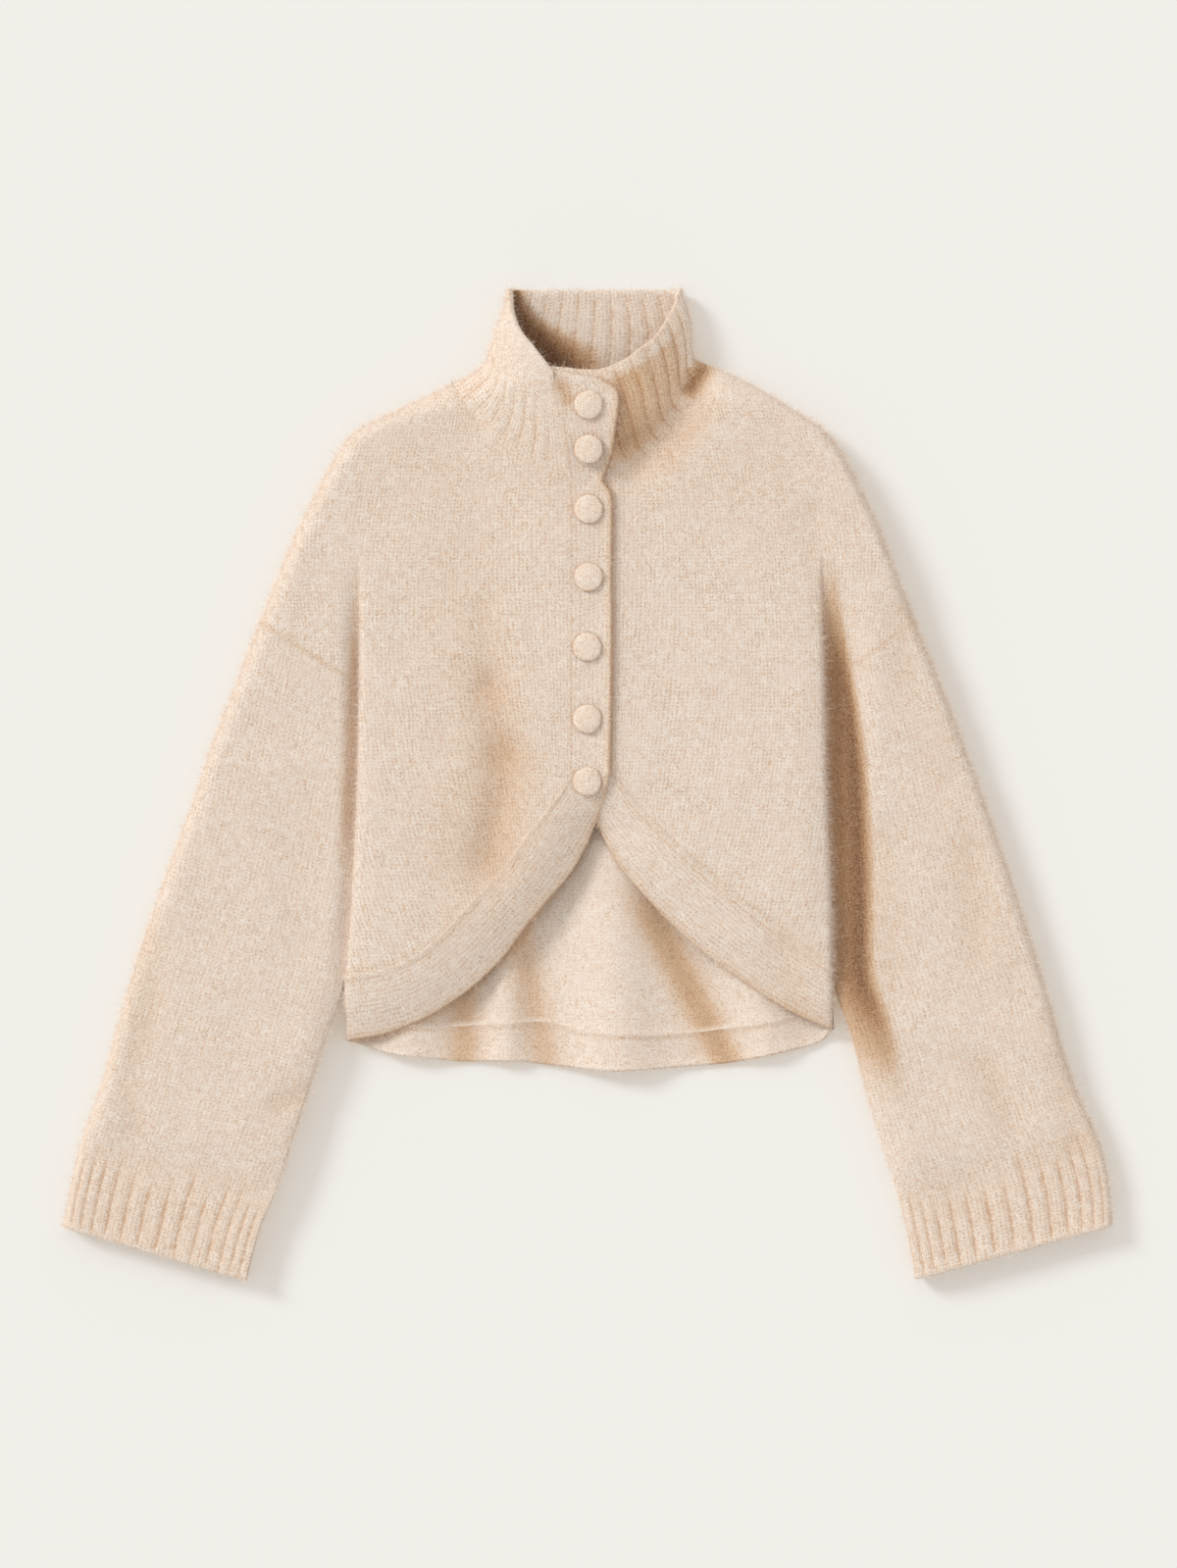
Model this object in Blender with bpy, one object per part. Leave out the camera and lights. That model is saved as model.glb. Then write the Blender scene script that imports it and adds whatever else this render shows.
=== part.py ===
"""A cropped knit cardigan laid flat on its back, with its front up.

The plan is the XY plane: +X to the right, +Y towards the collar, +Z up, and the cloth rests
on Z = 0. Every piece is a knitted wall. The upper cloth (fronts, bands, the front of the
collar) and the lower cloth (back, hem band, the back of the collar) follow one height field
each, so that pieces that are sewn together meet level. They turn down and up to one
another at the outline, where the garment is folded or sewn.
"""
import math
from collections import namedtuple

import bmesh
import bpy
import numpy as np

MM = 0.001                  # sizes below are in millimetres

# Cloth and seams
WALL = 3.0                  # thickness of the knitted cloth
SEAM_GAP = 0.5              # clearance between pieces that are sewn together
COLLAR_GAP = 0.75           # the same along the collar, whose seam runs aslant
FOLD_Z = 11.0               # height of the outline, halfway up its rounded edge
LAYER_STEP = 3.6            # the buttoned front lies this much above the one under it

# Heights of the upper cloth
BODY_Z = 31.0
COLLAR_RISE = 6.0           # the collar's front stands this much above the body
HEM_DROP = 4.0              # and the front edges at the bottom sink by this much
ARM_BEGINS = (160.0, 35.0)  # a start and a length over which one height passes into another:
COLLAR_RISES = (240.0, 60.0)           # up the neck
COLLAR_ENDS = (50.0, 70.0)             # out from the centre line
HEM_DROPS = (20.0, 150.0)              # below the picture's middle
STEP_RISES = (-110.0, 85.0)            # over the front that buttons over
WAVES_GROW = (25.0, 110.0)             # towards the hem
DOWN_ARM = (0.24, -0.97)               # direction down the arm in the plan

# Radii, in plan, over which the cloth turns down or up at its edges
EDGE_RADIUS = 18.0
COLLAR_RADIUS = 45.0
RADIUS_GROWS = (272.0, 45.0)           # from the edge's radius to the collar's: start in y, length
UNDER_RADIUS = 9.0
BODY_SIDE_RADIUS = 15.0
ARM_SIDE_RADIUS = {-1: 20.0, 1: 27.0}

# Landmarks in the plan
CREASE_TOP = 185.0          # the fold between body and arm fades out here
UNDERARM = 76.0
UNDER_CREASE = 18.0         # on the underside it starts only this far above the underarm
ARMHOLE_OUT = 124.0         # the armhole seam meets the outer edge here
BAND_WIDTH = 42.0
PLACKET_SEAM = {-1: -16.0, 1: 20.5}
NECK_POINT = {-1: -104.0, 1: 90.0}     # where the collar starts on the shoulder
RIM_Y = 378.0

# Buttons and ribs
BUTTON_RADIUS = 11.0
BUTTON_DOME = 6.0
BUTTON_EDGE = 1.6
RIB_HEIGHT = 1.3
RIB_SQUEEZE = 0.06          # ribs of a cuff are closer near its edges
CUFF_RIBS = 14
COLLAR_RIBS = {"left flap": 8, "back": 11, "right flap": 10}
PLAIN_RIBS = 3              # ribs of the right flap that lie under the buttonhole band

Edge = namedtuple("Edge", "y left right")
Fold = namedtuple("Fold", "x1 y1 x2 y2 width depth")
Ridge = namedtuple("Ridge", "x width height lean")
Along = namedtuple("Along", "way height")
CuffEnds = namedtuple("CuffEnds", "seam_out seam_in end_out end_in")

# Outer edge: collar fold, shoulder, arm and cuff
OUTLINE = (
    Edge(y=378, left=-61, right=70),
    Edge(y=362, left=-66, right=76.5),
    Edge(y=347, left=-71, right=79),
    Edge(y=333, left=-75.5, right=79.5),
    Edge(y=325, left=-78, right=82),
    Edge(y=321, left=-80, right=90),
    Edge(y=312, left=-92, right=111),
    Edge(y=303, left=-110, right=129),
    Edge(y=292, left=-133, right=147),
    Edge(y=273, left=-172, right=176),
    Edge(y=264, left=-184, right=186),
    Edge(y=247, left=-196, right=199),
    Edge(y=228, left=-206, right=209),
    Edge(y=192, left=-224, right=226),
    Edge(y=150, left=-242, right=242),
    Edge(y=111, left=-257, right=257),
    Edge(y=67, left=-274, right=275),
    Edge(y=30, left=-289, right=289),
    Edge(y=-13, left=-303, right=305),
    Edge(y=-75, left=-326, right=326),
    Edge(y=-150, left=-351, right=350),
    Edge(y=-225, left=-372, right=372),
    Edge(y=-273, left=-389, right=393),
    Edge(y=-305, left=-397, right=401),
    Edge(y=-337, left=-403, right=403),
)

# Fold between body and arm, and below the underarm the side of the body
BODY_SIDE = (
    Edge(y=273, left=-172, right=176),
    Edge(y=180, left=-175, right=177),
    Edge(y=76, left=-179, right=180),
    Edge(y=0, left=-182, right=182),
    Edge(y=-75, left=-185, right=185),
    Edge(y=-148, left=-186.5, right=186.5),
    Edge(y=-190, left=-186.5, right=187.5),
)

# Inner edge of the sleeve and cuff
ARM_SIDE = (
    Edge(y=273, left=-172, right=176),
    Edge(y=180, left=-175, right=177),
    Edge(y=76, left=-179.9, right=180.9),
    Edge(y=0, left=-182.9, right=182.9),
    Edge(y=-75, left=-185.9, right=185.9),
    Edge(y=-148, left=-187.7, right=187.7),
    Edge(y=-191, left=-199.5, right=200.5),
    Edge(y=-249, left=-218.5, right=216),
    Edge(y=-306, left=-237, right=234),
    Edge(y=-340, left=-250.5, right=242.5),
    Edge(y=-378, left=-261, right=250),
)

CUFF = {-1: CuffEnds(seam_out=-273, seam_in=-306, end_out=-337, end_in=-378),
        1: CuffEnds(seam_out=-262, seam_in=-305, end_out=-336, end_in=-377)}

# Crown height of the arm by the distance down it
ARM_CROWN = (
    Along(way=-120, height=31),
    Along(way=-40, height=28.5),
    Along(way=40, height=25.5),
    Along(way=200, height=24.5),
    Along(way=335, height=23),
    Along(way=350, height=21),
    Along(way=366, height=18.5),
    Along(way=440, height=18),
)

# Seams and free edges of the fronts, from the neck or placket outwards
NECK_SEAM = {-1: ((-16, 234), (-34, 238), (-51, 246), (-62, 254), (-76, 267), (-90, 283), (-104, 307)),
             1: ((20.5, 241), (33, 246), (48, 255), (57, 263), (70, 281), (80, 297), (90, 321))}
BACK_NECK = ((-104, 307), (-97, 301), (-60, 298), (0, 297), (50, 301), (78, 311), (90, 321))
BAND_SEAM = {-1: ((-16, 0), (-27, -15), (-45, -38), (-60, -60), (-76, -78), (-95, -98),
                  (-114, -118), (-131, -131), (-155, -142), (-186.5, -148)),
             1: ((20.5, 5), (34, -14), (46, -27), (71, -52), (106, -82), (130, -101),
                 (156, -121), (186.5, -142))}
BAND_EDGE = {-1: ((16, 15), (9, -17), (-5, -51), (-16, -69), (-32, -88), (-51, -111), (-64, -129),
                  (-76, -142), (-92, -156), (-108, -167), (-124, -177), (-140, -184),
                  (-158, -190), (-184, -195)),
             1: ((-11.5, 15), (-5, -12), (8, -33), (20, -55), (30, -69), (45, -86), (60, -102),
                 (76, -117), (94, -132), (112, -145), (131, -158), (150, -170), (166, -178),
                 (186.5, -187))}
PLACKET_EDGE = ((16, 15), (18, 60), (18.5, 105), (18, 160), (18, 221), (11.5, 232), (18, 252),
                (20.5, 272), (22.5, 290), (20, 299), (10, 305))
PLACKET_TOP = ((-27, 312), (-13, 309.5), (10, 305))
UNDERLAP_TOP = (-11.5, 236)
MOUTH_EDGE = {-1: ((-27.7, 317), (-32, 320), (-40, 331), (-51, 345), (-58, 361), (-61, 378)),
              1: ((-20, 315), (7, 314), (26, 321), (39, 330), (52, 341), (64, 361), (70, 378))}
HEM_SEAM = ((-186.5, -172), (-150, -183), (-116, -186), (-71, -184), (-34, -182), (0, -189),
            (40, -192), (74, -191), (108, -187), (150, -180), (187, -166))
HEM_EDGE = ((-184, -196), (-150, -206), (-124, -209), (-98, -212), (-55, -212), (-18, -216),
            (21, -219), (61, -217), (108, -213), (153, -204), (176, -198), (187.5, -188))
BUTTON_AT = ((0, 289), (0, 256), (0, 211), (0, 159), (-1, 105), (-1, 50), (-1, 2))

# Soft troughs of the upper cloth
FOLDS = (
    Fold(x1=-69, y1=85, x2=-66, y2=-50, width=17, depth=4.0),
    Fold(x1=-62, y1=-5, x2=-76, y2=-55, width=13, depth=2.5),
    Fold(x1=-338, y1=-135, x2=-330, y2=-200, width=12, depth=3.0),
    Fold(x1=-352, y1=-225, x2=-340, y2=-262, width=10, depth=2.5),
    Fold(x1=-216, y1=-236, x2=-236, y2=-246, width=9, depth=2.5),
    Fold(x1=222, y1=-50, x2=232, y2=-150, width=16, depth=2.5),
    Fold(x1=-96, y1=292, x2=-84, y2=272, width=7, depth=2.0),
    Fold(x1=300, y1=-215, x2=322, y2=-258, width=13, depth=2.2),
)

# Waves of the back near its hem
RIDGES = (
    Ridge(x=-143, width=15, height=2.5, lean=0.0),
    Ridge(x=-62, width=14, height=4.5, lean=0.0),
    Ridge(x=27, width=32, height=8.0, lean=-0.1),
    Ridge(x=134, width=18, height=5.0, lean=-0.2),
)
RIDGE_Y = -212.0            # a ridge is at its stated x at this y

# Rows and columns of the pieces, and where they aren't even, as shares of the whole
FRONT_ROWS_BELOW = 10
BACK_ROWS_BELOW = 11
BACK_COLUMNS = 10
SLEEVE_ROWS = 17
CUFF_ROWS = 4
COLLAR_ROWS = 6
BAND_COLUMNS = 4
BAND_ROW = 20.0             # a longer stretch between a seam's corners is halved
PLACKET_COLLAR_ROWS = 6
PLACKET_ROWS = 14
BUTTON_SIDES = 14
ACROSS_ARM = (0, 0.03, 0.11, 0.22, 0.40, 0.60, 0.78, 0.89, 0.97, 1)
UNDER_ARM_CLOTH = (0, 0.018, 0.06, 0.12, 0.36, 0.64, 0.88, 0.94, 0.982, 1)
ROWS_TO_UNDERARM = (0, 0.0135, 0.05, 0.1, 0.19, 0.28, 0.37, 0.46, 0.55, 0.64, 0.73, 0.82, 0.91, 1)
FRONT_NEAR_SIDE = (0, 0.015, 0.056, 0.112)
BACK_NEAR_SIDE = (0, 0.0035, 0.013, 0.026)
UNDER_ROWS_TO_UNDERARM = (0, 0.006, 0.023, 0.046, 0.14, 0.26, 0.38, 0.5, 0.62, 0.74, 0.86, 1)

COLOURS = {"body": (0.90, 0.82, 0.75), "sleeve": (0.88, 0.80, 0.73), "rib": (0.87, 0.79, 0.71),
           "button": (0.90, 0.83, 0.77)}


# ---- curves in the plan ----

def through(points, steps=10):
    """A smooth path through points, as a dense array of plan points."""
    knots = np.array(points, float)
    knots = np.vstack((2 * knots[0] - knots[1], knots, 2 * knots[-1] - knots[-2]))
    path = []
    for before, start, end, after in zip(knots, knots[1:], knots[2:], knots[3:]):
        for t in np.arange(steps) / steps:
            bend = 2 * before - 5 * start + 4 * end - after
            twist = 3 * start - before - 3 * end + after
            path.append(start + 0.5 * ((end - before) * t + bend * t ** 2 + twist * t ** 3))
    path.append(knots[-2])
    return np.array(path)


def side_path(table, side):
    return through([(row.left if side < 0 else row.right, row.y) for row in table])


def at_share(path, shares):
    """Points at the given shares of a path's length."""
    way = np.concatenate(([0], np.cumsum(np.linalg.norm(np.diff(path, axis=0), axis=1))))
    shares = np.asarray(shares) * way[-1]
    return np.column_stack([np.interp(shares, way, path[:, axis]) for axis in (0, 1)])


def at_y(path, values):
    """Points of a path that runs down, at the given y."""
    return np.column_stack((np.interp(-np.asarray(values), -path[:, 1], path[:, 0]), values))


def at_x(path, values):
    """Points of a path that runs one way across, at the given x."""
    order = np.argsort(path[:, 0])
    return np.column_stack((values, np.interp(values, path[order, 0], path[order, 1])))


def between(path, start_y, end_y, count=60):
    """The stretch of a path that runs down, between two heights in the plan."""
    return at_y(path, np.linspace(start_y, end_y, count))


def blend(value, start, length):
    """0 below the start, 1 past the length and a soft step between."""
    t = np.clip((value - start) / length, 0, 1)
    return t * t * (3 - 2 * t)


OUTER = {side: side_path(OUTLINE, side) for side in (-1, 1)}
BODY = {side: side_path(BODY_SIDE, side) for side in (-1, 1)}
ARM = {side: side_path(ARM_SIDE, side) for side in (-1, 1)}


# ---- height fields ----

def roll(t):
    """Rise of a rounded edge, from 0 at the edge to 1 where it is level, and its slope."""
    left = np.clip(1 - t, 0, 1)
    rise = np.sqrt(1 - left ** 2)
    return rise, left / np.maximum(rise, 0.03)


def edge_field(points, path):
    """Distance of each point to a path with the cloth on its left, and the way inwards."""
    start, run = path[:-1], np.diff(path, axis=0)
    offset = points[:, None] - start[None]
    share = np.clip((offset * run).sum(2) / (run * run).sum(1), 0, 1)
    away = offset - share[..., None] * run
    distance = np.linalg.norm(away, axis=2)
    nearest = distance.argmin(1)
    rows = np.arange(len(points))
    gap = distance[rows, nearest]
    inward = away[rows, nearest] / np.maximum(gap, 1e-9)[:, None]
    turned = np.column_stack((-run[:, 1], run[:, 0]))[nearest]
    turned /= np.linalg.norm(turned, axis=1)[:, None]
    inward[gap < 0.05] = turned[gap < 0.05]
    return gap, inward


def outer_field(points):
    left = edge_field(points, OUTER[-1])
    right = edge_field(points, OUTER[1][::-1])
    use_left = left[0] < right[0]
    return np.where(use_left, left[0], right[0]), np.where(use_left[:, None], left[1], right[1])


def valley_field(points):
    """Distance to the fold between body and arm, on whichever side of it a point lies."""
    gap = np.empty(len(points))
    inward = np.empty((len(points), 2))
    radius = np.empty(len(points))
    for side in (-1, 1):
        here = points[:, 0] * side > 0
        outside = here & (points[:, 0] * side > at_y(BODY[side], points[:, 1])[:, 0] * side + 0.01)
        inside = here & ~outside
        for chosen, path, size in ((inside, BODY[side][::-side], BODY_SIDE_RADIUS),
                                   (outside, ARM[side][::side], ARM_SIDE_RADIUS[side])):
            if chosen.any():
                gap[chosen], inward[chosen] = edge_field(points[chosen], path)
                radius[chosen] = size
    inward[(gap < 0.05) & (points[:, 1] > UNDERARM + 0.1)] = 0
    return gap, inward, radius


def crown(x, y, layer):
    """Height of the upper cloth away from its edges. Layer 1 is the front that buttons over."""
    way = DOWN_ARM[0] * np.abs(x) + DOWN_ARM[1] * y
    arm = np.interp(way, [row.way for row in ARM_CROWN], [row.height for row in ARM_CROWN])
    body = BODY_Z - HEM_DROP * blend(-y, *HEM_DROPS)
    body = body + COLLAR_RISE * blend(y, *COLLAR_RISES) * (1 - blend(np.abs(x), *COLLAR_ENDS))
    height = body + (arm - body) * blend(np.abs(x), *ARM_BEGINS)
    for fold in FOLDS:
        run = np.array((fold.x2 - fold.x1, fold.y2 - fold.y1), float)
        share = np.clip(((x - fold.x1) * run[0] + (y - fold.y1) * run[1]) / (run @ run), 0, 1)
        off = np.hypot(x - fold.x1 - share * run[0], y - fold.y1 - share * run[1])
        height = height - fold.depth * np.exp(-(off / fold.width) ** 2)
    return height + layer * LAYER_STEP * blend(x, *STEP_RISES)


def upper(points, layer=0):
    """Outer surface of the upper cloth: places and unit normals."""
    x, y = points.T
    outer_gap, outer_way = outer_field(points)
    valley_gap, valley_way, valley_radius = valley_field(points)
    radius = EDGE_RADIUS + (COLLAR_RADIUS - EDGE_RADIUS) * blend(y, *RADIUS_GROWS)
    rise, rise_slope = roll(outer_gap / radius)
    dip, dip_slope = roll(valley_gap / valley_radius)
    deep = blend(-y, -CREASE_TOP, CREASE_TOP - UNDERARM)
    share = 1 - deep * (1 - dip)
    level = crown(x, y, layer) - FOLD_Z
    step = 0.5
    level_way = np.column_stack((crown(x + step, y, layer) - crown(x - step, y, layer),
                                 crown(x, y + step, layer) - crown(x, y - step, layer))) / (2 * step)
    slope = level_way * (rise * share)[:, None]
    slope += (level * share * rise_slope / radius)[:, None] * outer_way
    slope += (level * rise * deep * dip_slope / valley_radius)[:, None] * valley_way
    normal = np.column_stack((-slope, np.ones(len(points))))
    normal /= np.linalg.norm(normal, axis=1)[:, None]
    return np.column_stack((points, FOLD_Z + SEAM_GAP / 2 + level * rise * share)), normal


def waves(x, y):
    height = np.zeros(len(x))
    for ridge in RIDGES:
        centre = ridge.x + ridge.lean * (y - RIDGE_Y)
        height += ridge.height * np.exp(-((x - centre) / ridge.width) ** 2)
    return height * blend(-y, *WAVES_GROW)


def lower(points):
    """Outer surface, on the underside, of the lower cloth: places and unit normals."""
    x, y = points.T
    outer_gap, outer_way = outer_field(points)
    valley_gap, valley_way, _ = valley_field(points)
    rise, rise_slope = roll(outer_gap / UNDER_RADIUS)
    dip, dip_slope = roll(valley_gap / UNDER_RADIUS)
    deep = blend(-y, -UNDERARM - UNDER_CREASE, UNDER_CREASE)
    share = 1 - deep * (1 - dip)
    level = FOLD_Z - SEAM_GAP / 2
    slope = -(level * share * rise_slope / UNDER_RADIUS)[:, None] * outer_way
    slope -= (level * rise * deep * dip_slope / UNDER_RADIUS)[:, None] * valley_way
    wave = waves(x, y)
    step = 0.5
    wave_way = np.column_stack((waves(x + step, y) - waves(x - step, y),
                                waves(x, y + step) - waves(x, y - step))) / (2 * step)
    slope += wave_way * (rise * share)[:, None]
    normal = np.column_stack((slope, -np.ones(len(points))))
    normal /= np.linalg.norm(normal, axis=1)[:, None]
    height = level * (1 - rise * share) + wave * rise * share
    return np.column_stack((points, height)), normal


# ---- walls ----

class Wall:
    """Collects the points and quads of one knitted wall and makes it a solid."""

    def __init__(self, name, colour, parent):
        self.name, self.colour, self.parent = name, colour, parent
        self.outer, self.inner, self.quads = [], [], []
        self.known = {}

    def points(self, places, normals, relief_out=None, relief_in=None):
        """Adds a point pair for each place and gives their numbers. Equal places are shared."""
        relief_out = np.zeros(len(places)) if relief_out is None else relief_out
        relief_in = np.zeros(len(places)) if relief_in is None else relief_in
        numbers = []
        for place, normal, out, into in zip(places, normals, relief_out, relief_in):
            key = tuple(np.round(place, 2))
            if key not in self.known:
                self.known[key] = len(self.outer)
                self.outer.append(place + normal * out)
                self.inner.append(place - normal * (WALL + into))
            numbers.append(self.known[key])
        return numbers

    def grid(self, rows, closed=False):
        """Quads over rows of point numbers. Closed joins each row's last point to its first."""
        for row, after in zip(rows, rows[1:]):
            ends = list(zip(row, row[1:], after[1:], after))
            if closed:
                ends.append((row[-1], row[0], after[0], after[-1]))
            for quad in ends:
                corners = tuple(dict.fromkeys(quad))
                if len(corners) > 2:
                    self.quads.append(corners)

    def build(self):
        count = len(self.outer)
        faces = list(self.quads) + [tuple(n + count for n in reversed(quad)) for quad in self.quads]
        edges = {}
        for quad in self.quads:
            for a, b in zip(quad, quad[1:] + quad[:1]):
                edges[(a, b)] = edges.get((a, b), 0) + 1
        for a, b in edges:
            if (b, a) not in edges:
                faces.append((b, a, a + count, b + count))
        return solid(self.name, np.array(self.outer + self.inner), faces, self.colour, self.parent)


def solid(name, places, faces, colour, parent):
    mesh = bpy.data.meshes.new(name)
    mesh.from_pydata((places * MM).tolist(), [], faces)
    shape = bmesh.new()
    shape.from_mesh(mesh)
    bmesh.ops.recalc_face_normals(shape, faces=shape.faces)
    shape.to_mesh(mesh)
    shape.free()
    mesh.shade_smooth()
    mesh.materials.append(knit_material(colour))
    thing = bpy.data.objects.new(name, mesh)
    thing.parent = parent
    bpy.context.scene.collection.objects.link(thing)
    return thing


def knit_material(colour):
    name = "knit " + colour
    material = bpy.data.materials.get(name)
    if material is None:
        material = bpy.data.materials.new(name)
        material.use_nodes = True
        shader = material.node_tree.nodes["Principled BSDF"]
        shader.inputs["Base Color"].default_value = (*COLOURS[colour], 1)
        shader.inputs["Roughness"].default_value = 0.9
        shader.inputs["Metallic"].default_value = 0
    return material


# ---- plan grids ----

def patch(across, top, bottom, first, last):
    """Rows of plan points between four edges: top and bottom run across, first and last down."""
    way = np.concatenate(([0], np.cumsum(np.linalg.norm(np.diff(first, axis=0), axis=1))))
    v = (way / way[-1])[:, None, None]
    u = np.asarray(across, float)[None, :, None]
    grid = (1 - v) * top[None] + v * bottom[None] + (1 - u) * first[:, None] + u * last[:, None]
    corners = ((1 - u) * (1 - v) * top[0] + u * (1 - v) * top[-1]
               + (1 - u) * v * bottom[0] + u * v * bottom[-1])
    grid = grid - corners
    grid[:, 0], grid[:, -1] = first, last
    return grid


def ruled(starts, ends, shares):
    """Rows of plan points on straight lines from each start to each end."""
    shares = np.asarray(shares, float)[None, :, None]
    return starts[:, None] + (ends - starts)[:, None] * shares


def row_heights(shares, below, end_y):
    """Heights in the plan of a body piece's rows at its side, down to and past the underarm."""
    top = BODY_SIDE[0].y
    above = top + (UNDERARM - top) * np.asarray(shares)
    return np.concatenate((above, np.linspace(UNDERARM, end_y, below + 1)[1:]))


def arm_grid(side, rows, across):
    """Plan of the arm's part of a body piece: rows from the outer edge to the body's fold."""
    top = BODY_SIDE[0].y
    crease = at_y(BODY[side], top + (UNDERARM - top) * np.asarray(rows))
    edge = at_share(between(OUTER[side], top, ARMHOLE_OUT), rows)
    edge[0] = crease[0]
    return ruled(edge, crease, 1 - np.asarray(across)[::-1])


def front_plan(side):
    """Plan of a front: its body grid, then its edges at the neck and at the band's curve."""
    top_x = at_y(BODY[side], [BODY_SIDE[0].y])[0, 0]
    centre_x = PLACKET_SEAM[side]
    neck_share = (NECK_POINT[side] - top_x) / (centre_x - top_x)
    near_side = FRONT_NEAR_SIDE
    to_neck = np.linspace(near_side[-1], neck_share, 4)[1:]
    to_centre = np.linspace(neck_share, 1, 7)[1:]
    shares = np.concatenate((near_side, to_neck, to_centre))
    neck_column = len(near_side) + len(to_neck) - 1

    seam_end = BAND_SEAM[side][-1]
    heights = row_heights(ROWS_TO_UNDERARM, FRONT_ROWS_BELOW, seam_end[1])
    side_line = at_y(BODY[side], heights)
    top_line = top_x + (centre_x - top_x) * shares
    bottom_line = side_line[-1, 0] + (centre_x - side_line[-1, 0]) * shares
    shoulder = at_x(OUTER[side], top_line[:neck_column + 1])
    neck = at_x(through(NECK_SEAM[side]), top_line[neck_column + 1:])
    top = np.vstack((shoulder, neck))
    bottom = at_x(through(BAND_SEAM[side]), bottom_line)
    down = (heights[0] - heights) / (heights[0] - heights[-1])
    centre = ruled(top[-1:], bottom[-1:], down)[0]
    top[0], bottom[0] = side_line[0], side_line[-1]
    grid = patch(shares, top, bottom, side_line, centre)
    return grid, top[neck_column:], bottom[::-1]


def back_plan():
    """Plan of the back: its body grid, then its edges at the neck and at the hem band."""
    top_y = BODY_SIDE[0].y
    left_x, right_x = (at_y(BODY[side], [top_y])[0, 0] for side in (-1, 1))
    width = right_x - left_x
    neck_shares = [(NECK_POINT[side] - left_x) / width for side in (-1, 1)]
    near_side = np.array(BACK_NEAR_SIDE)
    near_neck = near_side[1:3] * 2
    shares = np.concatenate((near_side, np.linspace(near_side[-1], neck_shares[0], 4)[1:],
                             neck_shares[0] + near_neck,
                             np.linspace(*neck_shares, BACK_COLUMNS + 1)[1:-1],
                             neck_shares[1] - near_neck[::-1],
                             np.linspace(neck_shares[1], 1 - near_side[-1], 4),
                             1 - near_side[-2::-1]))
    first_neck = len(near_side) + 2
    last_neck = first_neck + BACK_COLUMNS + 2 * len(near_neck)

    left, right = (at_y(BODY[side], row_heights(UNDER_ROWS_TO_UNDERARM, BACK_ROWS_BELOW, end[1]))
                   for side, end in ((-1, HEM_SEAM[0]), (1, HEM_SEAM[-1])))
    top_line = left_x + width * shares
    top = np.vstack((at_x(OUTER[-1], top_line[:first_neck + 1]),
                     at_x(through(BACK_NECK), top_line[first_neck + 1:last_neck]),
                     at_x(OUTER[1], top_line[last_neck:])))
    bottom = at_x(through(HEM_SEAM), left[-1, 0] + (right[-1, 0] - left[-1, 0]) * shares)
    top[0], top[-1], bottom[0], bottom[-1] = left[0], right[0], left[-1], right[-1]
    grid = patch(shares, top, bottom, left, right)
    return grid, top[first_neck:last_neck + 1], bottom


# ---- pieces ----

def add_grid(wall, plan, surface, *args):
    """Adds a plan's rows to a wall at a surface's height and gives their point numbers."""
    return [wall.points(*surface(row, *args)) for row in plan]


def make_front(side, name, parent):
    layer = 1 if side < 0 else 0
    wall = Wall(name, "body", parent)
    body = add_grid(wall, front_plan(side)[0], upper, layer)
    arm = add_grid(wall, arm_grid(side, ROWS_TO_UNDERARM, ACROSS_ARM), upper, layer)
    wall.grid(body)
    wall.grid(arm)
    wall.build()


def make_back(parent):
    wall = Wall("back", "body", parent)
    body = add_grid(wall, back_plan()[0], lower)
    wall.grid(body)
    for side in (-1, 1):
        arm = add_grid(wall, arm_grid(side, UNDER_ROWS_TO_UNDERARM, UNDER_ARM_CLOTH), lower)
        wall.grid(arm if side < 0 else [row[::-1] for row in arm])
    wall.build()


def arm_ring(wall, inner, outer, shares, under_shares, relief=None):
    """One ring of a sleeve or cuff, over a straight line in the plan between its two edges."""
    over = inner + (outer - inner) * np.asarray(shares)[:, None]
    under = outer + (inner - outer) * np.asarray(under_shares[1:-1])[:, None]
    numbers = wall.points(*upper(over), relief_out=relief)
    return numbers + wall.points(*lower(under))


def arm_lines(side, outer_span, inner_span, shares):
    """Points down the outer and the inner edge of an arm, between two heights of each."""
    outer = at_share(between(OUTER[side], *outer_span), shares)
    inner = at_share(between(ARM[side], *inner_span), shares)
    return inner, outer


def make_sleeve(side, name, parent):
    wall = Wall(name, "sleeve", parent)
    ends = CUFF[side]
    length = ARMHOLE_OUT - ends.seam_out
    shares = np.linspace(SEAM_GAP / length, 1, SLEEVE_ROWS)
    inner, outer = arm_lines(side, (ARMHOLE_OUT, ends.seam_out), (UNDERARM, ends.seam_in), shares)
    rows = [arm_ring(wall, a, b, ACROSS_ARM, UNDER_ARM_CLOTH) for a, b in zip(inner, outer)]
    wall.grid(rows, closed=True)
    wall.build()


def rib_shares(ribs):
    """Columns of a ribbed edge, three to a rib, as shares of its width."""
    return np.linspace(0, 1, 3 * ribs + 1)


def rib_relief(ribs, plain=0):
    """Height of a ribbed edge's columns. The first ribs may be plain."""
    relief = np.array([0] + [RIB_HEIGHT, RIB_HEIGHT, 0] * ribs)
    relief[:3 * plain] = 0
    return relief


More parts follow.
